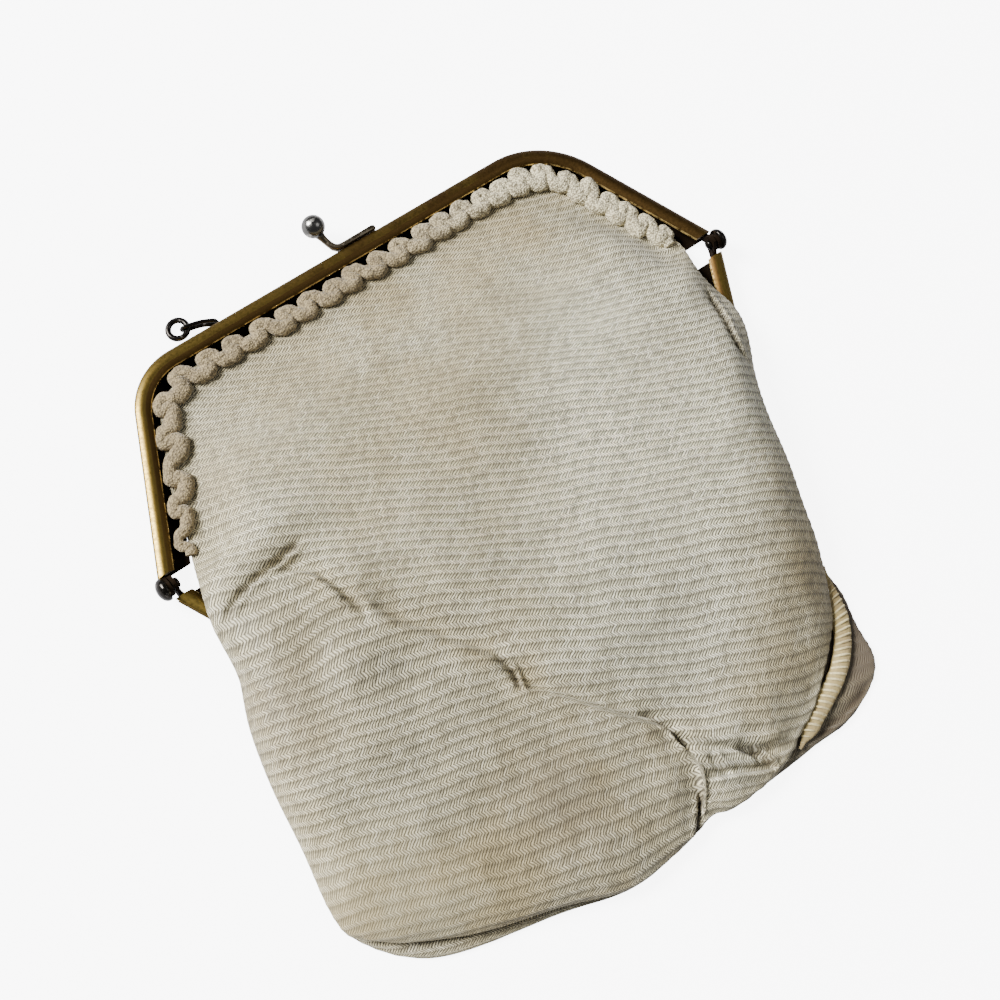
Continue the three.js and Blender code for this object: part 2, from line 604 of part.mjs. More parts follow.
function backPanel(name) {
  const spine = new THREE.CatmullRomCurve3(BACK_COURSE.map(({ y, z }) => new THREE.Vector3(0, y, z)));
  const turn = BACK_TURN / (BACK_COURSE.length - 1);
  const bend = 2 / (BACK_COURSE.length - 1);
  const { first, turn: round, over } = BACK_RUNS;
  const stations = [
    ...Array.from({ length: first }, (_, i) => (turn - bend) * i / first),
    ...Array.from({ length: round }, (_, i) => turn - bend + 2 * bend * i / round),
    ...Array.from({ length: over + 1 }, (_, i) => turn + bend + (1 - turn - bend) * i / over),
  ];
  const last = BACK_COURSE[BACK_COURSE.length - 1].y;
  // where each column lies: below zero beyond the left arm, otherwise between that arm and the right side
  const columns = BACK_COLUMNS.map((share) => {
    const overX = (y) => {
      const { left, right, knee } = backSides(y);
      return share < 0 ? knee + (knee - left) * share : THREE.MathUtils.lerp(knee, right, share);
    };
    const foot = footAt(BACK_FOOT, overX);
    return stations.map((u) => {
      const { y, z } = spine.getPoint(u);
      const row = y < FOOT_FROM ? FOOT_FROM + (y - FOOT_FROM) * (foot - FOOT_FROM) / (last - FOOT_FROM) : y;
      const returning = THREE.MathUtils.smoothstep(u, turn, turn + bend);
      const sewnLeft = -frameReach('left', SEWN_INSET + 1, -y, NEST);
      const sewnRight = frameReach('right', SEWN_INSET + 1, -y, NEST);
      const turned = Math.min(sewnRight, frontSide('right', y) - BACK_TUCK);
      const even = THREE.MathUtils.inverseLerp(BACK_COLUMNS[0], 1, share);
      const x = THREE.MathUtils.lerp(THREE.MathUtils.lerp(sewnLeft, turned, even), overX(row), returning);
      const laid = Math.max(z, LAID_HEIGHT);
      const { left, knee } = backSides(row);
      const fall = THREE.MathUtils.smoothstep(knee - left, GAP, BACK_DROOP) * Math.max(-share, 0);
      const raised = laid + claspBump(x, row, laid) * returning;
      return new THREE.Vector3(x, row, THREE.MathUtils.lerp(raised, LAID_HEIGHT, fall * returning));
    });
  });
  const grid = stations.map((_, j) => columns.map((column) => column[j]));
  return piece(name, clothSolid(grid), 'silk');
}

// Flat tape along the front panel's edge, with a slight wave from its stitching
function sideSeam(name) {
  const edge = (y) => new THREE.Vector2(frontSide('right', y), y);
  const section = [[-1, 0], [1, 0], [1, 0.6], [0.6, 1], [-0.6, 1], [-1, 0.6]];
  const outline = section.map(([across, up]) => new THREE.Vector2(across * SEAM_WIDTH / 2, up * SEAM_THICK));
  const rings = Array.from({ length: SEAM_STEPS + 1 }, (_, j) => {
    const y = SEAM_SPAN.from + (SEAM_SPAN.to - SEAM_SPAN.from) * j / SEAM_STEPS;
    const along = edge(y - 1).sub(edge(y + 1)).normalize();
    const outward = new THREE.Vector2(-along.y, along.x);
    const wave = SEAM_WAVE * (j % 2);
    const middle = edge(y).addScaledVector(outward, SEAM_OFFSET);
    return outline.map((corner) => new THREE.Vector3(
      middle.x + outward.x * corner.x, middle.y + outward.y * corner.x, CLOTH + GAP + wave + corner.y));
  });
  return piece(name, loft(rings, outline), 'tape');
}

const frontHalf = new THREE.Group();
frontHalf.add(
  frameHalf('frame_front', FRONT_EAR_X, 0, CORNER_RADII),
  claspHalf('clasp_front'),
  chainEye('chain_eye'),
  chainRing('chain_ring'),
  ruchedTrim('trim_ruching'),
);

// Drawn like the front half and turned half round, so its corners change places
const backRadii = { left: CORNER_RADII.right, right: CORNER_RADII.left };
const backHalf = new THREE.Group();
backHalf.rotation.z = Math.PI;
backHalf.add(frameHalf('frame_back', BACK_EAR_X, NEST, backRadii), claspHalf('clasp_back'));

const pouch = new THREE.Group();
pouch.add(frontPanel('panel_front'), backPanel('panel_back'), sideSeam('side_seam'));

const purse = new THREE.Group();
purse.add(frontHalf, backHalf, pouch, hingeRivet('hinge_rivet_left', -1), hingeRivet('hinge_rivet_right', 1));

// The origin is under the middle of the whole purse, on the surface that it lies on
const bounds = new THREE.Box3().setFromObject(purse, true);
const centre = bounds.getCenter(new THREE.Vector3());
purse.position.set(-centre.x, -centre.y, -bounds.min.z);

export default purse;
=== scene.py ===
from math import acos, atan, atan2, copysign, cos, pi, radians, sin, tan, tau

import bmesh
import bpy
import numpy as np
from mathutils import Matrix, Vector


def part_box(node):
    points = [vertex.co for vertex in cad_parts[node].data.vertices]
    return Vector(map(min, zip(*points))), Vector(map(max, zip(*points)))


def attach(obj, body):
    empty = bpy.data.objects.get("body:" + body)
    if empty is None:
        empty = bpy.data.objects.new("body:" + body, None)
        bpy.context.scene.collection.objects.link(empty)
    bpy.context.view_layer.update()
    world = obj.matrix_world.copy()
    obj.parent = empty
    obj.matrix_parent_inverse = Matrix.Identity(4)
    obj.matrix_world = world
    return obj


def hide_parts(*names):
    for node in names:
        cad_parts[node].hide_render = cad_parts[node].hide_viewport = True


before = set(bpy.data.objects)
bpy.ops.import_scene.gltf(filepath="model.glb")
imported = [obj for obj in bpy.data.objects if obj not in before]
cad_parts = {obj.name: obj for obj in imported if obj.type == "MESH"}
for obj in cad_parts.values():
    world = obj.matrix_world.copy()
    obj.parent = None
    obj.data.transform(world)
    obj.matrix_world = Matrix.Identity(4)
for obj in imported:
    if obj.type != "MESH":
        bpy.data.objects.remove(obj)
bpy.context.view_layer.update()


# Frame halves: two strips of brass sheet, each folded to a J in section and bent to a rounded trapezoid, then
# gilded. The gilding has gone brown. Its colour also holds painted shade towards the right arm, on the outer wall
# and on the flange, and a bright lip that is partly wear and partly a painted highlight.
# A plate is soldered inside the end of each arm as the hinge's ear.
MM = 0.001
rivet_boxes = [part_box("hinge_rivet_left"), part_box("hinge_rivet_right")]
HINGE = (rivet_boxes[0][0] + rivet_boxes[1][1]) / 2
PIVOT_HEIGHT = HINGE.z / MM


def place(x, y, z):
    """A point in the frame, from millimetres off the hinge line's middle and above the surface below."""
    return Vector((HINGE.x + x * MM, HINGE.y + y * MM, z * MM))


def linked(name, data):
    """A new object with this data, in the scene."""
    piece = bpy.data.objects.new(name, data)
    bpy.context.scene.collection.objects.link(piece)
    return piece


def mesh_object(name, points, faces, material, smooth=True):
    mesh = bpy.data.meshes.new(name)
    mesh.from_pydata([tuple(p) for p in points], [], faces)
    mesh.materials.append(material)
    mesh.polygons.foreach_set("use_smooth", [smooth] * len(mesh.polygons))
    return linked(name, mesh)


def finished(piece, node):
    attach(piece, "root")
    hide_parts(node)


in_hand = None  # the node tree that is being built


def feed(socket, value):
    if isinstance(value, bpy.types.NodeSocket):
        in_hand.links.new(value, socket)
    elif isinstance(value, (tuple, list)) and len(value) == 3 and socket.type == "RGBA":
        socket.default_value = (*value, 1.0)
    else:
        socket.default_value = value


def fed(node, **inputs):
    """The node with inputs fed by name, each from a socket or as a plain value."""
    for key, value in inputs.items():
        feed(node.inputs[key.replace("_", " ")], value)
    return node


def shader(name, **uniform):
    """A new material and its Principled shader with the given inputs set; its tree is then in hand."""
    global in_hand
    material = bpy.data.materials.new(name)
    material.use_nodes = True
    in_hand = material.node_tree
    return material, fed(in_hand.nodes["Principled BSDF"], **uniform)


def step(kind, mode=None, **inputs):
    """One node with its inputs fed by name, and its outputs."""
    node = in_hand.nodes.new(kind)
    if mode:
        node.mode = mode
    return fed(node, **inputs).outputs


def calc(operation, *values):
    node = in_hand.nodes.new("ShaderNodeMath")
    node.operation = operation
    for socket, value in zip(node.inputs, values):
        feed(socket, value)
    return node.outputs[0]


def times(first, *others):
    for other in others:
        first = calc("MULTIPLY", first, other)
    return first


def plus(first, *others):
    for other in others:
        first = calc("ADD", first, other)
    return first


def minus(first, second):
    return calc("SUBTRACT", first, second)


def parts(of_vector):
    """A vector's X, Y and Z."""
    return step("ShaderNodeSeparateXYZ", Vector=of_vector)


def vector(x=0.0, y=0.0, z=0.0):
    return step("ShaderNodeCombineXYZ", X=x, Y=y, Z=z)[0]


def between(value, low, high, to_low=0.0, to_high=1.0, smooth=True):
    node = in_hand.nodes.new("ShaderNodeMapRange")
    node.interpolation_type = "SMOOTHSTEP" if smooth else "LINEAR"
    for socket, number in zip(node.inputs, (value, low, high, to_low, to_high)):
        feed(socket, number)
    return node.outputs[0]


def blend(factor, first, second, way="MIX"):
    node = in_hand.nodes.new("ShaderNodeMix")
    node.data_type = "RGBA"
    node.blend_type = way
    feed(node.inputs[0], factor)
    feed(node.inputs[6], first)
    feed(node.inputs[7], second)
    return node.outputs[2]


def object_coords():
    return step("ShaderNodeTexCoord")["Object"]


def noise(coords, scale, detail=3.0, roughness=0.5):
    return step("ShaderNodeTexNoise", Vector=coords, Scale=scale, Detail=detail, Roughness=roughness)["Fac"]


def stretched(coords, scale, turn=0.0):
    return step("ShaderNodeMapping", Vector=coords, Scale=scale, Rotation=(0, 0, turn))[0]


def bump(surface, height, distance, strength=1.0):
    relief = step("ShaderNodeBump", Strength=strength, Distance=distance, Height=height)
    fed(surface, Normal=relief["Normal"])


def attribute(name):
    node = in_hand.nodes.new("ShaderNodeAttribute")
    node.attribute_name = name
    return node.outputs["Fac"]


GILT = (0.255, 0.178, 0.042)
GILT_WORN_HIGHLIGHT = (0.62, 0.46, 0.19)
GILT_TARNISH_AND_SHADE = (0.074, 0.042, 0.013)
GILT_BLACK_SHADE = (0.020, 0.013, 0.008)
RIM_WIDTH = 4.0
RIM_CROWN = 2.4


def gilt_brass():
    material, surface = shader("gilt_brass", Metallic=1.0)
    coords = object_coords()
    across = parts(coords)
    inset = attribute("inset")
    # brown in streaks as tarnish; darker towards the right end as painted shade, where the arms face away from the
    # key light; darker on the slope inside the crown of the rim
    streaks = noise(stretched(coords, (1, 0.25, 1)), 120, 5, 0.6)
    side = between(across["X"], HINGE.x - 72 * MM, HINGE.x + 50 * MM, 0.3, 1)
    on_front = between(across["Y"], HINGE.y - 2 * MM, HINGE.y + 2 * MM, 0.45, 1)
    tarnish_and_shade = times(side, on_front, between(streaks, 0.25, 0.7, 0.5, 1.3))
    inner_slope = between(inset, (RIM_CROWN - 0.2) * MM, (RIM_CROWN + 0.4) * MM, 0, 0.75)
    tarnish_and_shade = calc("MINIMUM", 1.0, plus(tarnish_and_shade, inner_slope))
    spots = between(noise(coords, 420, 4, 0.65), 0.60, 0.74)
    grain = noise(coords, 1500, 4, 0.7)
    # painted shade: the outer wall is darkened to hold down its reflection of the bright floor
    shaded_wall = between(inset, 0.05 * MM, 0.5 * MM, 0.55, 0)
    colour = GILT
    for share in (tarnish_and_shade, times(spots, 0.7), between(grain, 0.48, 0.68, 0, 0.5), shaded_wall):
        colour = blend(share, colour, GILT_TARNISH_AND_SHADE)
    # pale along the lip, partly wear and partly a painted highlight on the bend; near black on the flange and the
    # ears that the rim covers, partly tarnish and partly painted shade
    lip = between(inset, (RIM_WIDTH - 0.3) * MM, (RIM_WIDTH - 0.12) * MM)
    patchy_highlight = between(noise(coords, 800, 3, 0.6), 0.38, 0.55)
    colour = blend(times(lip, patchy_highlight), colour, GILT_WORN_HIGHLIGHT)
    # painted shade, with some tarnish: the flange and the ears under the rim are coloured near black
    flange = between(inset, (RIM_WIDTH + 0.05) * MM, (RIM_WIDTH + 0.4) * MM)
    height = times(attribute("drop"), -1.0)
    inside = times(between(height, 0.2 * MM, 0.5 * MM), between(height, 3.3 * MM, 3.6 * MM, 1, 0),
                   between(inset, 0.6 * MM, 0.85 * MM))
    flange = calc("MAXIMUM", flange, inside)
    colour = blend(flange, colour, GILT_BLACK_SHADE)
    rough = plus(between(grain, 0.3, 0.7, 0.27, 0.42), times(tarnish_and_shade, 0.14), times(flange, 0.3))
    fed(surface, Base_Color=colour, Roughness=rough)
    bump(surface, plus(grain, times(streaks, 2.0)), 0.04 * MM, 0.5)
    return material


def node_tree(name, **inputs):
    """A geometry node tree, then in hand, with one geometry in and out and the named inputs, and its inputs."""
    global in_hand
    tree = in_hand = bpy.data.node_groups.new(name, "GeometryNodeTree")
    kinds = {float: "Float", int: "Int", Vector: "Vector", bpy.types.Material: "Material",
             bpy.types.Object: "Object"}
    tree.interface.new_socket("Geometry", in_out="INPUT", socket_type="NodeSocketGeometry")
    for key, value in inputs.items():
        kind = next(label for cls, label in kinds.items() if isinstance(value, cls) or value is cls)
        tree.interface.new_socket(key, in_out="INPUT", socket_type="NodeSocket" + kind)
    tree.interface.new_socket("Geometry", in_out="OUTPUT", socket_type="NodeSocketGeometry")
    return tree, tree.nodes.new("NodeGroupInput").outputs


def vector_calc(operation, first, second=None, scale=None):
    node = in_hand.nodes.new("ShaderNodeVectorMath")
    node.operation = operation
    for key, value in ((0, first), (1, second), ("Scale", scale)):
        if value is not None:
            feed(node.inputs[key], value)
    return node.outputs["Value" if operation == "LENGTH" else "Vector"]


def scaled(direction, size):
    return vector_calc("SCALE", direction, scale=size)


def position():
    return step("GeometryNodeInputPosition")[0]


def facing():
    return step("GeometryNodeInputNormal")[0]


def noted(geometry, name, value):
    """The geometry with a value kept on its points under a name."""
    return step("GeometryNodeStoreNamedAttribute", Geometry=geometry, Name=name, Value=value)[0]


def note(name):
    return step("GeometryNodeInputNamedAttribute", Name=name)[0]


def shifted(geometry, offset):
    return step("GeometryNodeSetPosition", Geometry=geometry, Offset=offset)[0]


def upright(curve):
    """The curve with its sections kept level."""
    return step("GeometryNodeSetCurveNormal", "Z_UP", Curve=curve)[0]


def sweep(curve, section, size=1.0):
    return step("GeometryNodeCurveToMesh", Curve=curve, Profile_Curve=section, Scale=size, Fill_Caps=True)[0]


def close_tree(geometry, material, *others):
    """Ends a tree: smooth, Realize Instances, Set Material; others are rows of (where, material)."""
    smooth = step("GeometryNodeSetShadeSmooth", Geometry=geometry)[0]
    plain = step("GeometryNodeRealizeInstances", Geometry=smooth)[0]
    dressed = step("GeometryNodeSetMaterial", Geometry=plain, Material=material)[0]
    for where, other in others:
        dressed = step("GeometryNodeSetMaterial", Geometry=dressed, Selection=where, Material=other)[0]
    feed(in_hand.nodes.new("NodeGroupOutput").inputs[0], dressed)


def grown(name, source, tree, **inputs):
    """The plain mesh that a tree makes from a curve or mesh object, which is used up."""
    modifier = source.modifiers.new(tree.name, "NODES")
    modifier.node_group = tree
    for item in tree.interface.items_tree:
        if item.in_out == "INPUT" and item.name in inputs:
            modifier[item.identifier] = inputs[item.name]
    bpy.context.view_layer.update()
    evaluated = source.evaluated_get(bpy.context.evaluated_depsgraph_get())
    mesh = bpy.data.meshes.new_from_object(evaluated)
    source.modifiers.remove(modifier)
    bpy.data.objects.remove(source)
    mesh.name = name
    return linked(name, mesh)


def path_object(name, points, closed=False):
    curve = bpy.data.curves.new(name, "CURVE")
    curve.dimensions = "3D"
    spline = curve.splines.new("POLY")
    spline.points.add(len(points) - 1)
    for target, point in zip(spline.points, points):
        target.co = (*point, 1.0)
    spline.use_cyclic_u = closed
    return linked(name, curve)


ARM_SPAN = 169.6
FRAME_RISE = 48.3
ARM_LEAN = 0.484
ARM_END = 3.0
PATH_END = 0.02
NEST = 0.8
CORNER_RADII = (17.0, 24.0)
ARM_ANGLE = atan(ARM_LEAN)
CORNER_STEPS = 22


def frame_outline(inset, arm_end, narrower=0.0):
    """A half's outline in plan from its left arm's end to its right arm's end, as (x, y) in millimetres."""
    half = ARM_SPAN / 2 - narrower - inset / cos(ARM_ANGLE)
    top = FRAME_RISE - inset
    outline = [(-(half - ARM_LEAN * arm_end), arm_end)]
    for side, corner in zip((-1, 1), CORNER_RADII):
        radius = corner - inset
        centre = half - ARM_LEAN * top - radius * tan((pi / 2 - ARM_ANGLE) / 2)
        for i in range(CORNER_STEPS + 1):
            share = i / CORNER_STEPS if side < 0 else 1 - i / CORNER_STEPS
            angle = ARM_ANGLE + (pi / 2 - ARM_ANGLE) * share
            outline.append((side * (centre + radius * cos(angle)), top - radius + radius * sin(angle)))
    outline.append((half - ARM_LEAN * arm_end, arm_end))
    return outline


def rounded(corners, steps=4):
    """Corner points of a section as rows of (x, y, radius), turned into a closed outline with round corners."""
    outline = []
    count = len(corners)
    for i, (x, y, radius) in enumerate(corners):
        here = Vector((x, y))
        back = (Vector(corners[i - 1][:2]) - here).normalized()
        ahead = (Vector(corners[(i + 1) % count][:2]) - here).normalized()
        reach = radius / tan(acos(max(-1.0, min(1.0, back.dot(ahead)))) / 2)
        start, end = here + back * reach, here + ahead * reach
        for k in range(steps + 1):
            u = k / steps
            outline.append(start * (1 - u) ** 2 + here * (2 * u * (1 - u)) + end * u ** 2)
    return outline


# inset from the outer face, height above the surface below, radius of the bend; the rim's crown follows
CHANNEL_FOLDS = [
    (0.0, 0.0, 0.6), (8.0, 0.0, 0.2), (8.0, 0.9, 0.2), (0.9, 0.9, 0.3), (0.9, 3.5, 0.3), (3.4, 3.7, 0.1),
    (4.0, 3.72, 0.16),
]
CROWN_TOP = 5.1
CROWN_INSET = 1.9
CROWN_FALL = 0.2
CROWN_STEPS = 12


def section_outline():
    outline = [(p.x, p.y) for p in rounded(CHANNEL_FOLDS)]
    for i in range(CROWN_STEPS + 1):
        inset = RIM_WIDTH * (1 - i / CROWN_STEPS)
        outline.append((inset, CROWN_TOP - CROWN_FALL * (inset - CROWN_INSET) ** 2))
    return outline


channel_tree, channel_in = node_tree(
    "folded_channel", Section=bpy.types.Object, Hinge=Vector(), Arm_End=0.0, Towards=0.0, Lean=0.0,
    Gilt=bpy.types.Material)
section_place = parts(position())
channel_section = step("GeometryNodeObjectInfo", Object=channel_in["Section"])["Geometry"]
channel_section = noted(channel_section, "inset", section_place["X"])
channel_section = noted(channel_section, "drop", section_place["Y"])
folded = sweep(upright(channel_in["Geometry"]), channel_section)
# the arms' ends are cut square to the hinge line: what passes the cut slides back along its arm
off_hinge = parts(vector_calc("SUBTRACT", position(), channel_in["Hinge"]))
short = calc("MAXIMUM", 0.0, minus(channel_in["Arm_End"], times(off_hinge["Y"], channel_in["Towards"])))
inward = times(channel_in["Lean"], -1.0, short, calc("SIGN", off_hinge["X"]))
close_tree(shifted(folded, vector(inward, times(short, channel_in["Towards"]))), channel_in["Gilt"])

EAR_RADIUS = 2.2
EAR_TAIL = 5.4
EAR_FOOT = 1.0
EAR_THICK = 0.9
EAR_HOLE = 1.1
EAR_STEPS = 35
EAR_ROUND = (75, 195)  # degrees: where the round end begins, and how far it runs
EAR_TAIL_TOP, EAR_ROOT_TOP = 3.4, 3.9


def ear_mesh(inner_x, side, towards):
    """Points and faces of one hinge ear: a plate with a round end and a pin hole, its tail bent along the arm."""
    outer = []
    for i in range(EAR_STEPS + 1):
        angle = radians(EAR_ROUND[0] + EAR_ROUND[1] * i / EAR_STEPS)
        outer.append((EAR_RADIUS * cos(angle), PIVOT_HEIGHT + EAR_RADIUS * sin(angle)))
    outer += [(ARM_END, EAR_FOOT), (EAR_TAIL, EAR_FOOT), (EAR_TAIL, EAR_TAIL_TOP), (ARM_END, EAR_ROOT_TOP)]
    hole = []
    for y, z in outer:
        angle = atan2(z - PIVOT_HEIGHT, y)
        hole.append((EAR_HOLE * cos(angle), PIVOT_HEIGHT + EAR_HOLE * sin(angle)))
    points = []
    for x in (inner_x, inner_x + EAR_THICK):
        points += [place(side * (x - ARM_LEAN * max(y - EAR_RADIUS, 0)), towards * y, z) for y, z in outer + hole]
    count, layer = len(outer), 2 * len(outer)
    faces = []
    for i in range(count):
        j = (i + 1) % count
        faces.append((i, j, count + j, count + i))
        faces.append((layer + i, layer + count + i, layer + count + j, layer + j))
        faces.append((i, layer + i, layer + j, j))
        faces.append((count + i, count + j, layer + count + j, layer + count + i))
    return points, faces


def with_faces_out(piece):
    shape = bmesh.new()
    shape.from_mesh(piece.data)
    bmesh.ops.recalc_face_normals(shape, faces=shape.faces)
    shape.to_mesh(piece.data)
    shape.free()
    return piece


def joined(name, pieces):
    """Several objects' meshes as one object; the first gives the material."""
    shape = bmesh.new()
    material = pieces[0].data.materials[0]
    for piece in pieces:
        shape.from_mesh(piece.data)
    mesh = bpy.data.meshes.new(name)
    shape.to_mesh(mesh)
    shape.free()
    mesh.materials.append(material)
    for piece in pieces:
        bpy.data.objects.remove(piece)
    return linked(name, mesh)


def mark(piece, name, values):
    """Writes one value for each of a mesh's points."""
    piece.data.attributes.new(name, "FLOAT", "POINT").data.foreach_set("value", values)


def frame_half(name, node, towards, narrower, ear_x, gilt):
    outline = [(x, towards * y) for x, y in frame_outline(0.0, PATH_END, narrower)]
    if towards < 0:
        outline.reverse()
    path = path_object(name + "_path", [place(x, y, 0.0) for x, y in outline])
    section = path_object(name + "_section", [(x * MM, -z * MM, 0.0) for x, z in section_outline()], closed=True)
    channel = grown(name + "_channel", path, channel_tree, Section=section, Hinge=HINGE, Arm_End=ARM_END * MM,
                    Towards=float(towards), Lean=ARM_LEAN, Gilt=gilt)
    bpy.data.objects.remove(section)
    pieces = [channel]
    for side in (-1, 1):
        points, faces = ear_mesh(ear_x, side, towards)
        ear = with_faces_out(mesh_object(name + "_ear", points, faces, gilt, smooth=False))
        mark(ear, "inset", [2 * RIM_WIDTH * MM] * len(ear.data.vertices))
        pieces.append(ear)
    finished(joined(name, pieces), node)


GILT_BRASS = gilt_brass()
FRONT_EAR_X = 82.0
BACK_EAR_X = 80.7
frame_half("frame_front_channel", "frame_front", 1, 0.0, FRONT_EAR_X, GILT_BRASS)
frame_half("frame_back_channel", "frame_back", -1, NEST, BACK_EAR_X, GILT_BRASS)


# Hinge rivets: steel pins through the ears, each with a domed head outside and a small
# upset head inside. The steel is blackened, with rubbed grey patches.
BLACK_STEEL = (0.016, 0.014, 0.012)
RUBBED_STEEL = (0.22, 0.20, 0.18)


def blackened_steel():
    material, surface = shader("blackened_steel", Metallic=0.9)
    coords = object_coords()
    rubbed = between(noise(coords, 700, 5, 0.65), 0.56, 0.75)
    rough = between(rubbed, 0, 1, 0.22, 0.42)
    fed(surface, Base_Color=blend(rubbed, BLACK_STEEL, RUBBED_STEEL), Roughness=rough)
    bump(surface, noise(coords, 1800, 3), 0.05 * MM, 0.4)
    return material


def ring_faces(count, sides):
    """Faces that join rings of points, each ring to the next."""
    faces = []
    for j in range(count - 1):
        for i in range(sides):
            k = (i + 1) % sides
            faces.append((j * sides + i, j * sides + k, (j + 1) * sides + k, (j + 1) * sides + i))
    return faces


def turned(name, profile, sides, material, to_place):
    """A lathe-turned piece from rows of (radius, distance along its axis), both ends on the axis."""
    points = []
    rings = profile[1:-1]
    for radius, along in rings:
        for i in range(sides):
            angle = tau * i / sides
            points.append(to_place(along, radius * cos(angle), radius * sin(angle)))
    faces = ring_faces(len(rings), sides)
    first, last = len(points), len(points) + 1
    points += [to_place(profile[0][1], 0, 0), to_place(profile[-1][1], 0, 0)]
    for i in range(sides):
        k = (i + 1) % sides
        faces.append((first, k, i))
        faces.append((last, (len(rings) - 1) * sides + i, (len(rings) - 1) * sides + k))
    return with_faces_out(mesh_object(name, points, faces, material))


HEAD_RADIUS = 2.8
HEAD_START = 82.95
HEAD_HEIGHT = 2.4
HEAD_EDGE = 0.5
RIVET_SIDES = 32
dome = [(HEAD_RADIUS * cos(a), HEAD_START + HEAD_EDGE + (HEAD_HEIGHT - HEAD_EDGE) * sin(a))
        for a in (i / 10 * pi / 2 for i in range(11))]
RIVET_PROFILE = [
    (0, 79.7), (0.6, 79.72), (1.0, 79.85), (1.2, 80.1), (1.25, 80.35), (1.2, 80.5), (0.8, 80.52), (0.8, 82.93),
    (2.5, HEAD_START), (2.75, 83.1), *dome[:-1], (0, HEAD_START + HEAD_HEIGHT),
]
STEEL = blackened_steel()
for label, side in (("left", -1), ("right", 1)):
    rivet = turned(f"hinge_rivet_{label}_turned", RIVET_PROFILE, RIVET_SIDES, STEEL,
                   lambda along, y, z, side=side: place(side * along, y, PIVOT_HEIGHT + z))
    finished(rivet, f"hinge_rivet_{label}")


# Ball clasp: on each bar a flat strip soldered to the outer face, bent out at one end into a
# round stem that swells into a ball. Plated steel, with the plating rubbed on the ball.
NICKEL = (0.135, 0.132, 0.125)
NICKEL_WORN = (0.62, 0.60, 0.54)
NICKEL_DULL = (0.11, 0.085, 0.05)
BALL_AT = Vector((-3.4, 56.7, 5.5))
BALL_RADIUS = 2.9
BALL_SIDES, BALL_RINGS = 40, 24


def plated_nickel():
    material, surface = shader("plated_nickel", Metallic=1.0)
    coords = object_coords()
    off_ball = vector_calc("LENGTH", vector_calc("SUBTRACT", coords, place(*BALL_AT)))
    dull = times(between(off_ball, 2.9 * MM, 3.4 * MM), between(off_ball, 22 * MM, 26 * MM, 1, 0.3))
    worn = between(noise(coords, 520, 5, 0.7), 0.54, 0.62)
    colour = blend(times(worn, 0.6), NICKEL, NICKEL_WORN)
    colour = blend(times(dull, 0.85), colour, NICKEL_DULL)
    rough = plus(between(worn, 0, 1, 0.24, 0.42), times(dull, 0.1))
    fed(surface, Base_Color=colour, Roughness=rough)
    bump(surface, noise(coords, 2200, 3), 0.03 * MM, 0.4)
    return material


# along the strip and up the stem: place, half thickness, half height, squareness of the section
CLASP_STATIONS = [
    ((10.2, 49.3, 3.3), 0.25, 0.9, 3.0), ((10.0, 49.3, 3.3), 0.56, 1.35, 3.5),
    ((9.4, 49.3, 3.3), 0.78, 1.6, 4.0), ((6.0, 49.3, 3.3), 0.74, 1.6, 4.0), ((2.4, 49.3, 3.3), 0.7, 1.6, 4.0),
    ((0.6, 49.32, 3.3), 0.7, 1.5, 3.6), ((-0.7, 49.55, 3.3), 0.76, 1.3, 3.0),
    ((-1.55, 50.3, 3.35), 0.82, 1.1, 2.4), ((-2.05, 51.4, 3.55), 0.84, 0.92, 2.0),
    ((-2.45, 52.6, 3.75), 0.86, 0.86, 2.0), ((-2.8, 53.6, 4.2), 0.98, 0.98, 2.0),
    ((-3.05, 54.5, 4.6), 1.3, 1.3, 2.0), ((-3.25, 55.5, 5.0), 1.8, 1.8, 2.0),
]
CLASP_SIDES = 20


def clasp_half(name, node, towards, nickel):
    rings = []
    centres = [Vector(row[0]) for row in CLASP_STATIONS]
    for i, (_, thick, high, square) in enumerate(CLASP_STATIONS):
        along = (centres[min(i + 1, len(centres) - 1)] - centres[max(i - 1, 0)]).normalized()
        side = along.cross(Vector((0, 0, 1))).normalized()
        up = side.cross(along).normalized()
        for k in range(CLASP_SIDES):
            angle = tau * k / CLASP_SIDES
            c, s = cos(angle), sin(angle)
            wide = copysign(abs(c) ** (2 / square), c) * thick
            tall = copysign(abs(s) ** (2 / square), s) * high
            rings.append(centres[i] + side * wide + up * tall)
    last = (len(centres) - 1) * CLASP_SIDES
    ends = [tuple(range(CLASP_SIDES)), tuple(range(last, last + CLASP_SIDES))]
    faces = ends[:1] + ring_faces(len(centres), CLASP_SIDES) + ends[1:]
    points = [place(towards * p.x, towards * p.y, p.z) for p in rings]
    strip = with_faces_out(mesh_object(name + "_strip", points, faces, nickel))
    ball_profile = [(BALL_RADIUS * sin(a), BALL_RADIUS * cos(a))
                    for a in (i / BALL_RINGS * pi for i in range(BALL_RINGS + 1))]
    ball = turned(name + "_ball", ball_profile, BALL_SIDES, nickel, lambda along, y, z: place(
        towards * (BALL_AT.x + y), towards * (BALL_AT.y + z), BALL_AT.z + along))
    finished(joined(name, [strip, ball]), node)


PLATED = plated_nickel()
clasp_half("clasp_front_ball", "clasp_front", 1, PLATED)
clasp_half("clasp_back_ball", "clasp_back", -1, PLATED)


# Chain fixing: a wire eye soldered to the front bar's outer face, and the ring that a chain
# would hang from, lying on the surface with its near side in the eye.
def circle(radius, sides):
    return step("GeometryNodeCurvePrimitiveCircle", Resolution=sides, Radius=radius)[0]


wire_tree, wire_in = node_tree("bent_wire", Radius=0.0, Sides=8, Finish=bpy.types.Material)
close_tree(sweep(wire_in["Geometry"], circle(wire_in["Radius"], wire_in["Sides"])), wire_in["Finish"])


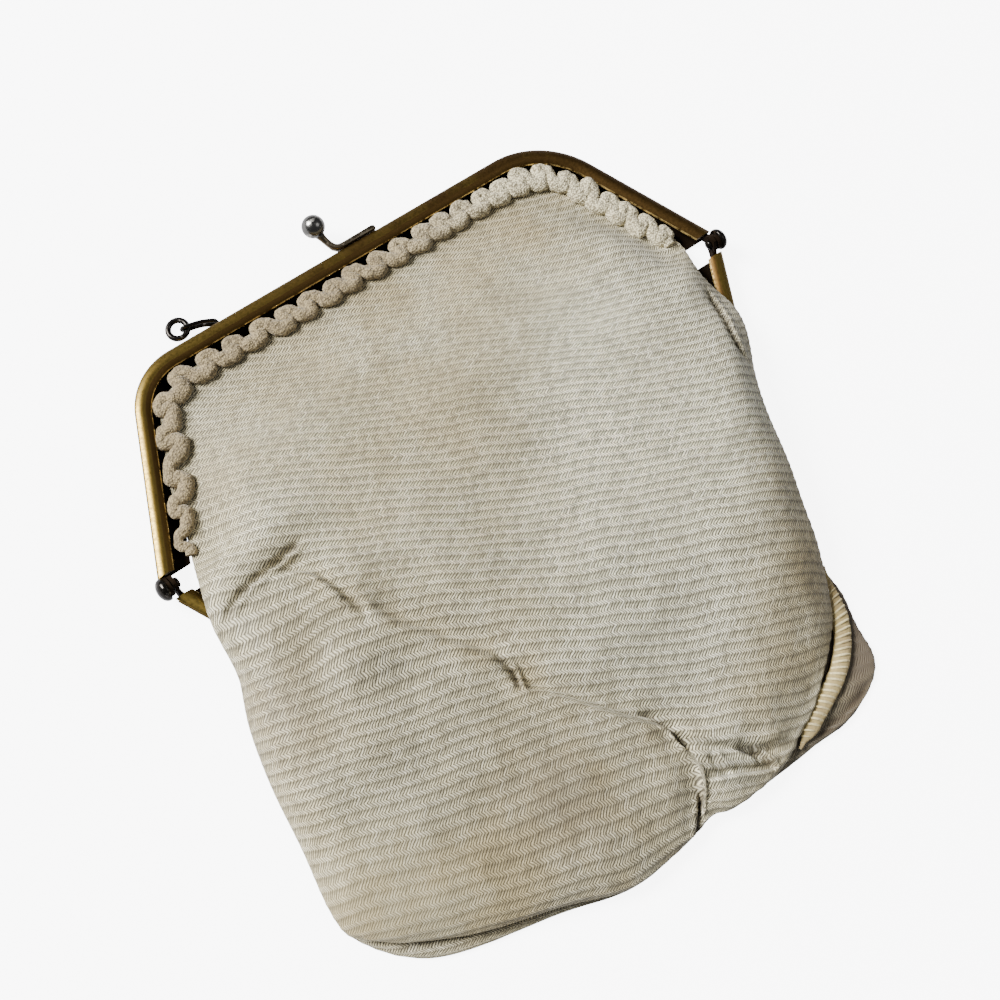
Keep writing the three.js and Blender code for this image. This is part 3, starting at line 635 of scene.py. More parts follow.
def smooth_path(points, steps):
    """Catmull-Rom curve through points."""
    rows = [2 * points[0] - points[1], *points, 2 * points[-1] - points[-2]]
    path = []
    for a, b, c, d in zip(rows, rows[1:], rows[2:], rows[3:]):
        for k in range(steps):
            t = k / steps
            path.append(0.5 * (2 * b + (c - a) * t + (2 * a - 5 * b + 4 * c - d) * t ** 2
                               + (3 * b - a - 3 * c + d) * t ** 3))
    return path + [points[-1]]


EYE_ROOT = Vector((-36.5, 48.6))
EYE_REACH = Vector((-43.2, 51.8))
EYE_LOW, EYE_HIGH = 0.55, 2.9
EYE_WIRE = 0.5
RING_RADIUS = 2.35
RING_WIRE = 0.72
RING_TILT = radians(13.7)
RING_HEIGHT = 1.28
RING_BITE = 0.3
RING_STEPS = 48

start = EYE_ROOT + Vector((0, 1.6))
aim = (EYE_REACH - start).normalized()
leg = [EYE_ROOT, EYE_ROOT + Vector((-0.2, 0.8)), start + Vector((-0.9, -0.3)), (start + EYE_REACH) / 2]
half_gap = (EYE_HIGH - EYE_LOW) / 2
bow = []
for degrees in (90, 45, 0, -45, -90):
    out = EYE_REACH + aim * half_gap * cos(radians(degrees))
    bow.append(place(out.x, out.y, EYE_LOW + half_gap * (1 + sin(radians(degrees)))))
eye_points = [place(p.x, p.y, EYE_HIGH) for p in leg] + bow + [place(p.x, p.y, EYE_LOW) for p in reversed(leg)]
eye = grown("chain_eye_wire", path_object("eye_path", smooth_path(eye_points, 6)), wire_tree,
            Radius=EYE_WIRE * MM, Sides=12, Finish=STEEL)
finished(eye, "chain_eye")

ring_aim = (EYE_REACH - Vector((EYE_ROOT.x, FRAME_RISE))).normalized()
ring_centre = EYE_REACH + ring_aim * (RING_RADIUS - RING_BITE)
ring_points = []
for i in range(RING_STEPS):
    angle = tau * i / RING_STEPS
    ahead, beside = RING_RADIUS * cos(angle), RING_RADIUS * sin(angle)
    flat = ring_centre + ring_aim * ahead * cos(RING_TILT) + Vector((-ring_aim.y, ring_aim.x)) * beside
    ring_points.append(place(flat.x, flat.y, RING_HEIGHT - ahead * sin(RING_TILT)))
ring = grown("chain_ring_wire", path_object("ring_path", ring_points, closed=True), wire_tree,
             Radius=RING_WIRE * MM, Sides=14, Finish=STEEL)
finished(ring, "chain_ring")


# Pouch, front panel: ribbed cream silk, woven in a herringbone, sewn to the front flange and
# pulled through the mouth so that the lining side is up. It lies over the back half in folds.
WEAVE_SLANT = (0.87, 0.81, 0.555)
WEAVE_GAP_AND_RIB_SHADOW = (0.072, 0.064, 0.042)
WEAVE_RIB = (1.0, 0.96, 0.77)
WEAVE_RIB_GAP = (0.38, 0.345, 0.235)
WEAVE_YELLOWED = (0.64, 0.50, 0.24)
WEAVE_SOILED_AND_SHADE = (0.155, 0.127, 0.075)
WEAVE_FOLD_SHADE = (0.036, 0.021, 0.008)
WEAVE_GRIME_AND_SHADE = (0.10, 0.076, 0.048)
WEAVE_WORN = (0.50, 0.445, 0.275)
WEAVE_WEAR, WEAVE_YELLOWING, WEAVE_FOLD_SOIL_AND_SHADE = 0.6, 0.7, 0.8
RIB_SHARE = 0.36
SLANT_SHIFT = 1.5


def ribbed_silk():
    material, surface = shader("ribbed_silk", Roughness=0.7, Sheen_Weight=0.15, Sheen_Roughness=0.4)
    coords = object_coords()
    weave = in_hand.nodes.new("ShaderNodeUVMap")
    weave.uv_map = "weave"
    along = parts(weave.outputs[0])
    stray = noise(coords, 900, 2)
    rib = calc("FRACT", plus(along["Y"], between(stray, 0, 1, -0.07, 0.07, False)))
    zigzag = calc("MINIMUM", calc("DIVIDE", rib, RIB_SHARE), calc("DIVIDE", minus(1.0, rib), 1 - RIB_SHARE))
    wander = between(noise(coords, 600, 2), 0, 1, -0.45, 0.45, False)
    phase = plus(wander, minus(along["X"], times(zigzag, SLANT_SHIFT)))
    thread = between(calc("SINE", times(phase, tau)), -0.7, 0.35)
    on_rib = times(between(rib, 0, 0.08), between(rib, 0.30, 0.40, 1, 0))
    closed = between(attribute("closed"), 0, 1, 1, 0.3, False)
    uneven = times(closed, between(noise(coords, 420, 3, 0.6), 0.3, 0.7, 0.3, 1))
    slant_colour = blend(thread, WEAVE_GAP_AND_RIB_SHADOW, WEAVE_SLANT)
    # a painted shadow: a thin dark line under each rib, in the dark colour of the gaps between threads
    rib_shadow = times(between(rib, 0.38, 0.46), between(rib, 0.46, 0.75, 0.6, 0))
    slant_colour = blend(times(rib_shadow, closed), slant_colour, WEAVE_GAP_AND_RIB_SHADOW)
    rib_colour = blend(thread, WEAVE_RIB_GAP, WEAVE_RIB)
    colour = blend(times(on_rib, uneven), slant_colour, rib_colour)
    # no two threads are quite the same shade
    each = in_hand.nodes.new("ShaderNodeTexWhiteNoise")
    each.noise_dimensions = "2D"
    feed(each.inputs["Vector"], vector(calc("FLOOR", phase), calc("FLOOR", along["Y"])))
    lot = each.outputs["Value"]
    colour = blend(between(lot, 0.35, 1, 0, 0.4), colour, WEAVE_GAP_AND_RIB_SHADOW)
    colour = blend(times(between(lot, 0.1, 0.16, 0.5, 0), thread), colour, WEAVE_RIB)
    slubs = between(noise(coords, 2600, 2, 0.6), 0.38, 0.66, 0, 0.42)
    colour = blend(slubs, colour, WEAVE_GAP_AND_RIB_SHADOW)
    colour = blend(times(attribute("worn"), WEAVE_WEAR), colour, WEAVE_WORN)
    # old yellowing and soiling, strongest where the piece's own field for it says; on the front panel the same
    # field also holds painted shade near the top of the frame and a painted sheen where it falls below its base
    blotch = noise(coords, 45, 5, 0.62)
    soil_and_light = attribute("soil_and_light")
    yellowed = times(soil_and_light, between(blotch, 0.32, 0.62, 0.35, 1))
    colour = blend(times(yellowed, WEAVE_YELLOWING), colour, WEAVE_YELLOWED, "MULTIPLY")
    soiled = plus(times(between(blotch, 0.5, 0.72), 0.16), times(soil_and_light, 0.22))
    colour = blend(soiled, colour, WEAVE_SOILED_AND_SHADE)
    # a dark stain, and painted shade in the gaps and where the cloth dips under the top bar
    colour = blend(attribute("grime_and_shade"), colour, WEAVE_GRIME_AND_SHADE)
    # soil and painted shade in the valleys of the creases and in the gaps beside the seam
    colour = blend(times(attribute("fold_soil_and_shade"), WEAVE_FOLD_SOIL_AND_SHADE), colour, WEAVE_FOLD_SHADE)
    fed(surface, Base_Color=colour)
    bump(surface, plus(thread, times(stray, 0.6)), 0.2 * MM, 0.8)
    return material


MERGE = 0.002


def cloth_grid(node):
    """A CAD cloth solid as quads: merged, and without the diagonals that split its grid."""
    shape = bmesh.new()
    shape.from_mesh(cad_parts[node].data)
    bmesh.ops.remove_doubles(shape, verts=shape.verts, dist=MERGE * MM)
    longest = {face: max(face.edges, key=lambda edge: edge.calc_length()) for face in shape.faces}
    diagonals = [edge for edge in shape.edges
                 if len(edge.link_faces) == 2 and all(longest[face] is edge for face in edge.link_faces)]
    bmesh.ops.dissolve_edges(shape, edges=diagonals, use_verts=False)
    return shape


def softened(name, shape, levels, material):
    """The grid rounded by subdivision, as a plain mesh object."""
    mesh = bpy.data.meshes.new(name)
    shape.to_mesh(mesh)
    shape.free()
    mesh.materials.clear()
    mesh.materials.append(material)
    rough = linked(name, mesh)
    modifier = rough.modifiers.new("round", "SUBSURF")
    modifier.levels = modifier.render_levels = levels
    evaluated = rough.evaluated_get(bpy.context.evaluated_depsgraph_get())
    fine = bpy.data.meshes.new_from_object(evaluated)
    bpy.data.objects.remove(rough)
    fine.name = name
    fine.polygons.foreach_set("use_smooth", [True] * len(fine.polygons))
    return linked(name, fine)


def coordinates(piece):
    """A mesh's points as millimetres off the hinge line, one row each."""
    flat = np.empty(len(piece.data.vertices) * 3)
    piece.data.vertices.foreach_get("co", flat)
    return (flat.reshape(-1, 3) - np.array((HINGE.x, HINGE.y, 0.0))) / MM


def set_coordinates(piece, rows):
    piece.data.vertices.foreach_set("co", (rows * MM + np.array((HINGE.x, HINGE.y, 0.0))).ravel())
    piece.data.update()


def ease(value, low, high):
    u = np.clip((value - low) / (high - low), 0, 1)
    return u * u * (3 - 2 * u)


# direction of the ribs in plan above and below the long fold, and how their pitch grows downwards
RIB_ANGLE = radians(-27)
RIB_ANGLE_BELOW = radians(-18)
FOLD_COURSE = [
    (-110, 14), (-63, -11.5), (-55.5, -17.4), (-52.9, -26), (-45.4, -37), (-41, -42.7), (-33.3, -53),
    (-29.2, -62), (-20.5, -74.8), (-11.8, -85.7), (-7, -91.5), (-6, -98.2), (-6.4, -104), (-8.7, -108.8),
    (-14, -116), (-20, -125),
]
FOLD_TURN = (-36.0, -51.0)
RIB_PITCH = 1.85
RIB_GROWTH = 0.0115
RIB_SWEEP = 0.0024
RIB_SWEEP_FROM = 20.0
THREAD_PITCH = 0.72


def ripple(x, y, waves):
    """A smooth uneven field: a sum of plane waves given as rows of (length, heading, offset, height)."""
    field = np.zeros_like(x)
    for length, heading, offset, height in waves:
        along = x * cos(heading) + y * sin(heading)
        field += height * np.sin(tau * along / length + offset)
    return field


RIB_WOBBLE = [(61, 0.3, 0.4, 0.3), (43, 1.3, 2.0, 0.2), (23, -0.4, 1.1, 0.07), (13, -0.5, 0.7, 0.035)]


def off_course(x, y, course):
    """Distance of places from a course in plan, the side of it they lie on, and how far along it they are."""
    nearest = np.full_like(x, np.inf)
    side = np.zeros_like(x)
    share = np.zeros_like(x)
    for i, ((x0, y0), (x1, y1)) in enumerate(zip(course, course[1:])):
        dx, dy = x1 - x0, y1 - y0
        u = np.clip(((x - x0) * dx + (y - y0) * dy) / (dx * dx + dy * dy), 0, 1)
        off_x, off_y = x - x0 - u * dx, y - y0 - u * dy
        distance = np.hypot(off_x, off_y)
        closer = distance < nearest
        nearest = np.where(closer, distance, nearest)
        side = np.where(closer, np.sign(dx * off_y - dy * off_x), side)
        share = np.where(closer, (i + u) / (len(course) - 1), share)
    return nearest, side, share


def weave_coordinates(x, y):
    """Threads along the rib, and ribs counted across it, at places in plan."""
    def across(angle, px, py):
        return px * sin(angle) - py * cos(angle)

    upper = across(RIB_ANGLE, x, y) + RIB_SWEEP * np.maximum(x - RIB_SWEEP_FROM, 0) ** 2
    lower = across(RIB_ANGLE, *FOLD_TURN) + across(RIB_ANGLE_BELOW, x - FOLD_TURN[0], y - FOLD_TURN[1])
    nearest, side, share = off_course(x, y, FOLD_COURSE)
    # the ribs turn over a broad band at the head of the fold, and over a narrow one further down
    reach = 22.0 - 20.0 * ease(share, 0.27, 0.5) - 1.5 * ease(share, 0.55, 0.66)
    below = ease(-nearest * side / reach, -0.05, 1.0)
    distance = upper * (1 - below) + lower * below
    grown_pitch = np.log1p(RIB_GROWTH * np.maximum(distance, 0) / RIB_PITCH) / RIB_GROWTH
    ribs = grown_pitch + np.minimum(distance, 0) / RIB_PITCH + ripple(x, y, RIB_WOBBLE)
    threads = (x * cos(RIB_ANGLE) + y * sin(RIB_ANGLE)) / THREAD_PITCH
    return threads, ribs


PLATEAU = 10.0
ROLL_UNROLLED = 0.6


def lay_weave(piece):
    """Writes the weave as a UV map for the material and as an attribute for the ribs."""
    rows = coordinates(piece)
    normals = np.empty(len(rows) * 3)
    piece.data.vertices.foreach_get("normal", normals)
    fall = ROLL_UNROLLED * np.maximum(PLATEAU - rows[:, 2], 0) * (1 - 0.8 * ease(rows[:, 1], -8, 10))
    unrolled = rows[:, :2] + normals.reshape(-1, 3)[:, :2] * fall[:, None]
    threads, ribs = weave_coordinates(unrolled[:, 0], unrolled[:, 1])
    layer = piece.data.uv_layers.new(name="weave")
    corner = np.empty(len(piece.data.loops), dtype=np.int64)
    piece.data.loops.foreach_get("vertex_index", corner)
    layer.data.foreach_set("uv", np.column_stack((threads, ribs))[corner].ravel())
    mark(piece, "rib_count", ribs)


def near(rows, x, y, reach):
    """1 at a place in plan, falling away over its reach."""
    return np.exp(-((rows[:, 0] - x) ** 2 + (rows[:, 1] - y) ** 2) / reach ** 2)


def lay_patches(piece, name, patches, all_over):
    """Writes how much of a mark each place has (soiling with painted light, wear, staining with painted shade, or
    a closed weave), from patches as rows of (x, y, reach, strength).
    """
    rows = coordinates(piece)
    soil_and_light = np.full(len(rows), all_over)
    for x, y, reach, strength in patches:
        soil_and_light += strength * near(rows, x, y, reach)
    mark(piece, name, np.clip(soil_and_light, 0, 1))


def pulled(rows, pulls):
    """Points moved in plan by local pulls, given as rows of (x, y, reach, move in x, move in y)."""
    moved = rows.copy()
    for x, y, reach, move_x, move_y in pulls:
        moved[:, :2] += np.outer(near(rows, x, y, reach), (move_x, move_y))
    return moved


rib_tree, rib_in = node_tree("herringbone_ribs", Height=0.0, Crest=0.0, Silk=bpy.types.Material)
off_crest = minus(note("rib_count"), rib_in["Crest"])
crest = calc("MULTIPLY_ADD", calc("COSINE", times(off_crest, tau)), 0.5, 0.5)
crest = calc("POWER", crest, 1.5)
cloth_facing = facing()
upper_side = between(parts(cloth_facing)["Z"], -0.3, 0.3)
flatter = between(note("closed"), 0, 1, 1, 0.35)
rib_rise = times(crest, times(upper_side, flatter), rib_in["Height"])
close_tree(shifted(rib_in["Geometry"], scaled(cloth_facing, rib_rise)), rib_in["Silk"])

RIB_HEIGHT = 0.16
RIB_CREST = 0.2

# creases of the front panel: depth of the valley, height of the roll beside it, half width, then the course
CREASES = [
    (1.25, 0.8, 0.75, [(-50, -8.5), (-55.5, -9.8), (-61, -10.5), (-65, -11), (-70.5, -11.8), (-75, -13.5),
                   (-79, -19)]),
    (0.2, -1.9, 1.4, [(-65, -10.5), (-58, -14.5), (-55.5, -17.4), (-54.1, -21.6), (-52.9, -26), (-51, -32)]),
    (0.22, 0.5, 1.1, [(-53.5, -24), (-52.6, -27), (-50.8, -29.5), (-50, -32.5)]),
    (0.35, -1.7, 2.2, [(-52.5, -25), (-45.4, -37), (-41, -42.7), (-33.3, -53), (-29, -60)]),
    (1.35, 0.9, 0.75, [(-31.5, -54), (-30, -58), (-29.8, -61), (-31.5, -66.5)]),
    (0.35, -1.4, 1.8, [(-32, -54), (-29.2, -65.8), (-20.5, -74.8), (-11.8, -85.7), (-6, -94)]),
    (2.2, -1.2, 0.7, [(-12, -84), (-9, -87), (-7.3, -90.3), (-6.5, -92.2), (-6.2, -95), (-5.9, -97.5),
                   (-5.6, -100)]),
    (-1.7, 0.0, 0.8, [(-5.2, -99), (-6.2, -104), (-7.5, -106.6), (-8.7, -108.8), (-11.1, -112.6), (-13, -115)]),
    (2.2, -0.6, 0.9, [(-9.2, -107), (-11.0, -110.5), (-13.2, -113), (-15.6, -115.4), (-17, -118)]),
    (0.5, 1.2, 1.0, [(-8, -91.5), (-4.1, -96.6), (-0.5, -100.2), (5.5, -105.5), (9.8, -108), (13.2, -109.8),
                   (18, -113)]),
    (1.2, 0.9, 0.8, [(-1.2, -101), (-1.7, -104.5), (-0.9, -107.2), (0, -109)]),
    (1.3, -1.0, 0.8, [(3.3, -104.2), (5.5, -106.6), (6.6, -109), (7.0, -111)]),
    (1.5, 0.9, 0.6, [(7.0, -106), (8.8, -109.8), (9.5, -111.9), (10.5, -115)]),
    (1.1, -1.0, 1.0, [(-7, -106), (-2.5, -107.7), (1.9, -110.2), (6.9, -112.5), (10, -115)]),
    (1.6, 0.9, 0.9, [(70.5, -8), (69.1, -14), (67.9, -19.3), (66.4, -22.6), (65.4, -26.9), (65.2, -33)]),
]
FOLD_LINE_FROM = 0.9
FOLD_LINE_REACH = 1.8
CREASE_FADE = 0.22


def crease_relief(rows, creases):
    """How far the creases move each place on the cloth up or down, and how deep in a valley it lies."""
    relief = np.zeros(len(rows))
    valley = np.zeros(len(rows))
    for depth, roll, width, course in creases:
        nearest, side, share = off_course(rows[:, 0], rows[:, 1], course)
        off = nearest / width
        fade = ease(share, 0.0, CREASE_FADE) * ease(1 - share, 0.0, CREASE_FADE)
        relief += fade * (roll * side * off * np.exp(0.5 - 0.5 * off * off) - depth * np.exp(-1.4 * off))
        if depth > FOLD_LINE_FROM:
            valley = np.maximum(valley, min(depth - FOLD_LINE_FROM, 1.0) * fade * np.exp(-(1.15 * off) ** 2))
    return relief, valley


# the slack of the cloth between its folds
SLACK = [
    (52, 0.9, 0.3, 0.35), (37, 2.4, 1.7, 0.3), (26, 0.2, 2.9, 0.22), (17, 1.7, 0.8, 0.14), (9.5, 2.8, 2.2, 0.06),
]

# broad swells of the cloth over what lies under it: middle, reach, height
SWELLS = [(48, -50, 32, 6.0), (-50, -25, 9, 2.0), (-59, -39, 9, 3.0), (-68, -53, 9, 2.2)]

# the right and lower edges fall away in a broad roll: how far in it begins, the share of the height it takes
ROLL_MIDDLE = (0.0, -45.0)
ROLL_SECTORS = 120
ROLL_REACH = 18.0
ROLL_LOSS = 0.75
ROLL_FOOT = 4.0
ROLL_FROM, ROLL_TO = (-2.1, -1.6), (-0.75, -0.4)


def rolled_off(rows):
    """Heights of the cloth's points, let down towards its edges on the right and at the foot."""
    heading = np.arctan2(rows[:, 1] - ROLL_MIDDLE[1], rows[:, 0] - ROLL_MIDDLE[0])
    out = np.hypot(rows[:, 0] - ROLL_MIDDLE[0], rows[:, 1] - ROLL_MIDDLE[1])
    sector = ((heading + pi) / tau * ROLL_SECTORS).astype(int) % ROLL_SECTORS
    edge = np.zeros(ROLL_SECTORS)
    np.maximum.at(edge, sector, out)
    middles = (np.arange(ROLL_SECTORS) + 0.5) * tau / ROLL_SECTORS - pi
    inward = np.interp(heading, middles, edge, period=tau) - out
    sides_let_down = ease(heading, *ROLL_FROM) * ease(-heading, *ROLL_TO)
    lost = ROLL_LOSS * sides_let_down * (1 - np.clip(inward / ROLL_REACH, 0, 1)) ** 2
    return rows[:, 2] - lost * np.maximum(rows[:, 2] - ROLL_FOOT, 0)


# where handling and damp have marked the front panel, with painted shade near the top of the frame and a painted
# sheen in the rows that lighten it: middle, reach, strength
FRONT_SOIL_AND_LIGHT = [
    (47, -88, 16, 0.7), (30, -100, 20, 0.4), (14, -102, 9, 0.3), (2, -106, 8, -0.7), (-6, -96, 6, 0.2),
    (-45, -96, 22, 0.3), (-60, -106, 18, 0.35), (-86, -92, 14, 0.3), (-20, -80, 12, 0.15), (-70, -45, 16, 0.15),
    (-62, -11, 7, 0.2), (0, 34, 22, 0.35), (44, 28, 18, 0.45), (-50, 22, 18, 0.15), (56, -60, 14, 0.15),
    (-38, -92, 13, 0.75), (-10, -8, 22, 0.2), (26, -32, 30, -0.7), (50, -36, 20, -0.4), (48, -6, 22, -0.65),
    (8, -74, 26, -0.8), (-62, -8, 14, -0.3), (-62, -38, 12, -0.3), (-45, -60, 20, -0.15), (-76, -36, 12, 0.2),
    (-55.5, -19, 3, 0.3), (-52.4, -27, 3.5, 0.35), (-47, -36, 4, 0.4), (-40, -44, 4, 0.45),
    (-34, -52, 4.5, 0.5), (-28, -63, 5, 0.5), (-22.8, -74, 5, 0.5), (-17, -82, 4, 0.45), (-11, -90, 4, 0.45),
]
FRONT_WORN = [(-84, -92, 22, 0.9)]
# a dark stain low in the middle, and painted shade where the cloth dips under the top bar and in the gap beside
# the seam: middle, reach, strength
FRONT_GRIME_AND_SHADE = [
    (-38.6, -91, 13, 0.45), (49, -90, 9, 0.2), (-76, -36, 14, 0.28), (46, 33, 9, 0.14), (26, 40, 10, 0.1),
    (4, 40, 10, 0.1), (-18, 40, 10, 0.1), (-40, 37, 10, 0.1), (-56, 26, 8, 0.08),
]
FRONT_CLOSED = [(40, 26, 34, 0.5), (0, 32, 30, 0.5), (-45, 26, 26, 0.5)]
SILK = ribbed_silk()
FRONT_PULLS = [
    (-34, -114, 12, -0.7, -2.0), (-10, -114.5, 4.0, 0.5, 1.5), (18.5, -112, 6, -0.7, 1.6),
    (-73.5, 8, 8, 2.0, -1.3),
]


def refined(piece, wanted):
    """Splits the faces that are wanted into four."""
    shape = bmesh.new()
    shape.from_mesh(piece.data)
    edges = dict.fromkeys(edge for face in shape.faces if wanted(face) for edge in face.edges)
    bmesh.ops.subdivide_edges(shape, edges=list(edges), cuts=1, use_grid_fill=True)
    shape.to_mesh(piece.data)
    shape.free()


# heights between which the cloth's upper side begins, and its slack
FRONT_TOP = (1.5, 4.5)
FRONT_PLUMP = (3.0, 8.0)
panel_shape = softened("panel_front_base", cloth_grid("panel_front"), 2, SILK)
refined(panel_shape, lambda face: face.normal.z > -0.1)
rows = coordinates(panel_shape)
fold_bands = [(2 * depth, roll, FOLD_LINE_REACH, course) for depth, roll, _, course in CREASES]
near_fold = (crease_relief(rows, fold_bands)[1] > 0.25) & (rows[:, 2] > FRONT_TOP[0])
refined(panel_shape, lambda face: any(near_fold[vertex.index] for vertex in face.verts))
rows = coordinates(panel_shape)
lay_weave(panel_shape)
for marked, patches, all_over in (("soil_and_light", FRONT_SOIL_AND_LIGHT, 0.6), ("worn", FRONT_WORN, 0.0),
                                  ("grime_and_shade", FRONT_GRIME_AND_SHADE, 0.0), ("closed", FRONT_CLOSED, 0.0)):
    lay_patches(panel_shape, marked, patches, all_over)
relief, valley = crease_relief(rows, CREASES)
top_side = ease(rows[:, 2], *FRONT_TOP)
# the crease valleys are marked for soil and painted shade
mark(panel_shape, "fold_soil_and_shade", np.clip(valley * top_side, 0, 1))
plump = ease(rows[:, 2], *FRONT_PLUMP)
slack = ripple(rows[:, 0], rows[:, 1], SLACK)
for x, y, reach, height in SWELLS:
    slack += height * near(rows, x, y, reach)
rows[:, 2] = rolled_off(rows)
rows[:, 2] += top_side * relief + plump * slack
set_coordinates(panel_shape, pulled(rows, FRONT_PULLS))
panel_front = grown("panel_front_silk", panel_shape, rib_tree, Height=RIB_HEIGHT * MM, Crest=RIB_CREST, Silk=SILK)
finished(panel_front, "panel_front")


# Pouch, back panel: the same silk, sewn to the back flange, turned at the hinge line and laid
# back over the frame. It shows beyond the front panel at the foot and the lower right.
BACK_SOIL = [(42, -104, 18, 0.8), (60, -80, 16, 0.5), (-70, -104, 20, 0.2)]
# darker at the lower right corner, and painted shade in the gap beside the front panel: middle, reach, strength
BACK_GRIME_AND_SHADE = [(44, -104, 17, 0.75), (20, -114, 10, 0.5), (49, -90, 7, 0.5), (43, -100, 7, 0.4)]
BACK_CREASES = [(0.8, 0.5, 0.9, [(44.5, -111), (39.5, -111.6), (34.3, -112.4), (29.8, -113.2), (24, -114)])]
# painted shade lies in the gap beside the front panel and under the turned edge of the corner
BACK_GAP_SHADE = [
    (2.0, 0.0, 1.9, [
        (50.6, -79.5), (49.3, -84.5), (47.5, -90), (45.8, -94.5), (43.4, -98.3), (40.2, -101.8), (36.3, -104.6),
        (31.8, -106.8), (26, -109.3), (20, -112),
    ]),
    (2.0, 0.0, 2.0, [(44, -107.5), (40.3, -110.6), (36, -112), (32.5, -112.8), (29, -113.6), (25, -114.3),
                   (20, -115)]),
]
BACK_PULLS = [
    (53.5, -92, 6, 1.4, -0.3), (44, -108, 9, 1.3, -1.5), (33, -113, 8, -0.3, -1.5), (-34, -114, 12, -0.6, -1.6),
    (-10, -114.5, 4.0, 0.5, 1.7),
]
BACK_TOP = (0.7, 1.2)
BACK_GAP_SHADE_FROM = (0.15, 0.4)
back_shape = softened("panel_back_base", cloth_grid("panel_back"), 3, SILK)
lay_weave(back_shape)
lay_patches(back_shape, "soil_and_light", BACK_SOIL, 0.45)
lay_patches(back_shape, "grime_and_shade", BACK_GRIME_AND_SHADE, 0.1)
rows = coordinates(back_shape)
relief, valley = crease_relief(rows, BACK_CREASES)
top_side = ease(rows[:, 2], *BACK_TOP)
gap_shade = crease_relief(rows, BACK_GAP_SHADE)[1]
fold_and_gap_shade = np.maximum(valley, gap_shade) * ease(rows[:, 2], *BACK_GAP_SHADE_FROM)
mark(back_shape, "fold_soil_and_shade", np.clip(fold_and_gap_shade, 0, 1))
rows[:, 2] += top_side * relief
set_coordinates(back_shape, pulled(rows, BACK_PULLS))
panel_back = grown("panel_back_silk", back_shape, rib_tree, Height=RIB_HEIGHT * MM, Crest=RIB_CREST, Silk=SILK)
finished(panel_back, "panel_back")


# Ruched trim: a soft roll of crepe silk, drawn up on a thread so that it snakes from side to
# side, and sewn over the raw edge of the lining inside the front half.
TRIM_BASE = 2.0
TRIM_INSET = 7.3
TRIM_LEFT_END = 3.6
TRIM_RIGHT_END = 6.4
TRIM_WARM_AND_SHADED = (0.35, 0.27, 0.138)
TRIM_CREAM = (0.76, 0.68, 0.44)
TRIM_SHADE = (0.10, 0.074, 0.04)


def crepe_silk():
    material, surface = shader("crepe_silk", Roughness=0.85, Sheen_Weight=0.2, Sheen_Roughness=0.5)
    coords = object_coords()
    # warmer and darker towards the left: partly a faded colour, partly painted shade on the left arm
    fade_and_shade = between(parts(coords)["X"], HINGE.x + 2 * MM, HINGE.x + 55 * MM)
    colour = blend(fade_and_shade, TRIM_WARM_AND_SHADED, TRIM_CREAM)
    pebbled = step("ShaderNodeTexVoronoi", Vector=coords, Scale=2100)["Distance"]
    soiled = between(noise(coords, 160, 5, 0.65), 0.45, 0.75)
    colour = blend(times(soiled, 0.5), colour, TRIM_SHADE)
    # painted shade in the pits between the crepe's pebbles; the same dark colour lays soil in blotches above
    colour = blend(between(pebbled, 0.25, 0.75, 0, 0.8), colour, TRIM_SHADE)
    fed(surface, Base_Color=colour)
    grain = plus(times(pebbled, -1.0), noise(coords, 2600, 3, 0.6))
    bump(surface, grain, 0.28 * MM, 1.0)
    return material


def resampled(curve, length):
    return step("GeometryNodeResampleCurve", "LENGTH", Curve=curve, Length=length)[0]


def oval(wide, high, sides):
    return step("GeometryNodeTransform", Geometry=circle(0.5, sides), Scale=vector(wide, high, 1.0))[0]


TRIM_STEP = 0.2
TRIM_SIDES = 28
BAR_MIDDLE = 0.46
PUCKERS = 5.0

ruche_tree, ruche_in = node_tree(
    "ruched_roll", Pitch=0.0, Gather=0.0, Swing=0.0, Bulge=0.0, Lean=0.0, Lag=0.0, Heft=0.0, Width=0.0, Height=0.0,
    Slim=0.0, Taper=0.0, Crease=0.0, Uneven=0.0, Silk=bpy.types.Material)
fine_path = resampled(ruche_in["Geometry"], TRIM_STEP * MM)
along_path = step("GeometryNodeSplineParameter")
roll_length, roll_share = along_path["Length"], along_path["Factor"]
unevenness = noise(vector(roll_length), 90, 1)
pushed = calc("MULTIPLY_ADD", minus(unevenness, 0.5), ruche_in["Uneven"], roll_length)
# the turns come closer together towards the right end, and the roll is slimmest along the bar
closer = calc("MULTIPLY_ADD", roll_share, ruche_in["Gather"], 1.0)
turns = times(calc("DIVIDE", pushed, ruche_in["Pitch"]), closer, tau)
slimmer = between(calc("ABSOLUTE", minus(roll_share, BAR_MIDDLE)), 0.1, 0.3, ruche_in["Slim"], 1)
ends = times(between(roll_share, 0, ruche_in["Taper"], 0.6, 1), between(roll_share, 0.97, 1, 1, 0.7))
full = times(slimmer, ends)
crisper = between(roll_share, 0.5, 0.85, 1, 1.4)
swung = times(full, between(noise(vector(roll_length, 1), 160, 0), 0.3, 0.7, 0.75, 1.3))
to_side, to_end = calc("COSINE", turns), calc("SINE", turns)
sway = times(to_side, swung, ruche_in["Swing"])
bulge = times(calc("SINE", times(turns, 2.0)), ruche_in["Bulge"])
lean = times(to_side, ruche_in["Lean"])
lag = times(to_end, ruche_in["Lag"])
stout = times(full, calc("MULTIPLY_ADD", to_side, ruche_in["Heft"], 1.0))
tangent = step("GeometryNodeInputTangent")[0]
crosswise = vector_calc("CROSS_PRODUCT", tangent, (0.0, 0.0, 1.0))
moved = vector_calc("ADD", scaled(crosswise, sway), scaled(tangent, plus(bulge, lean, lag)))
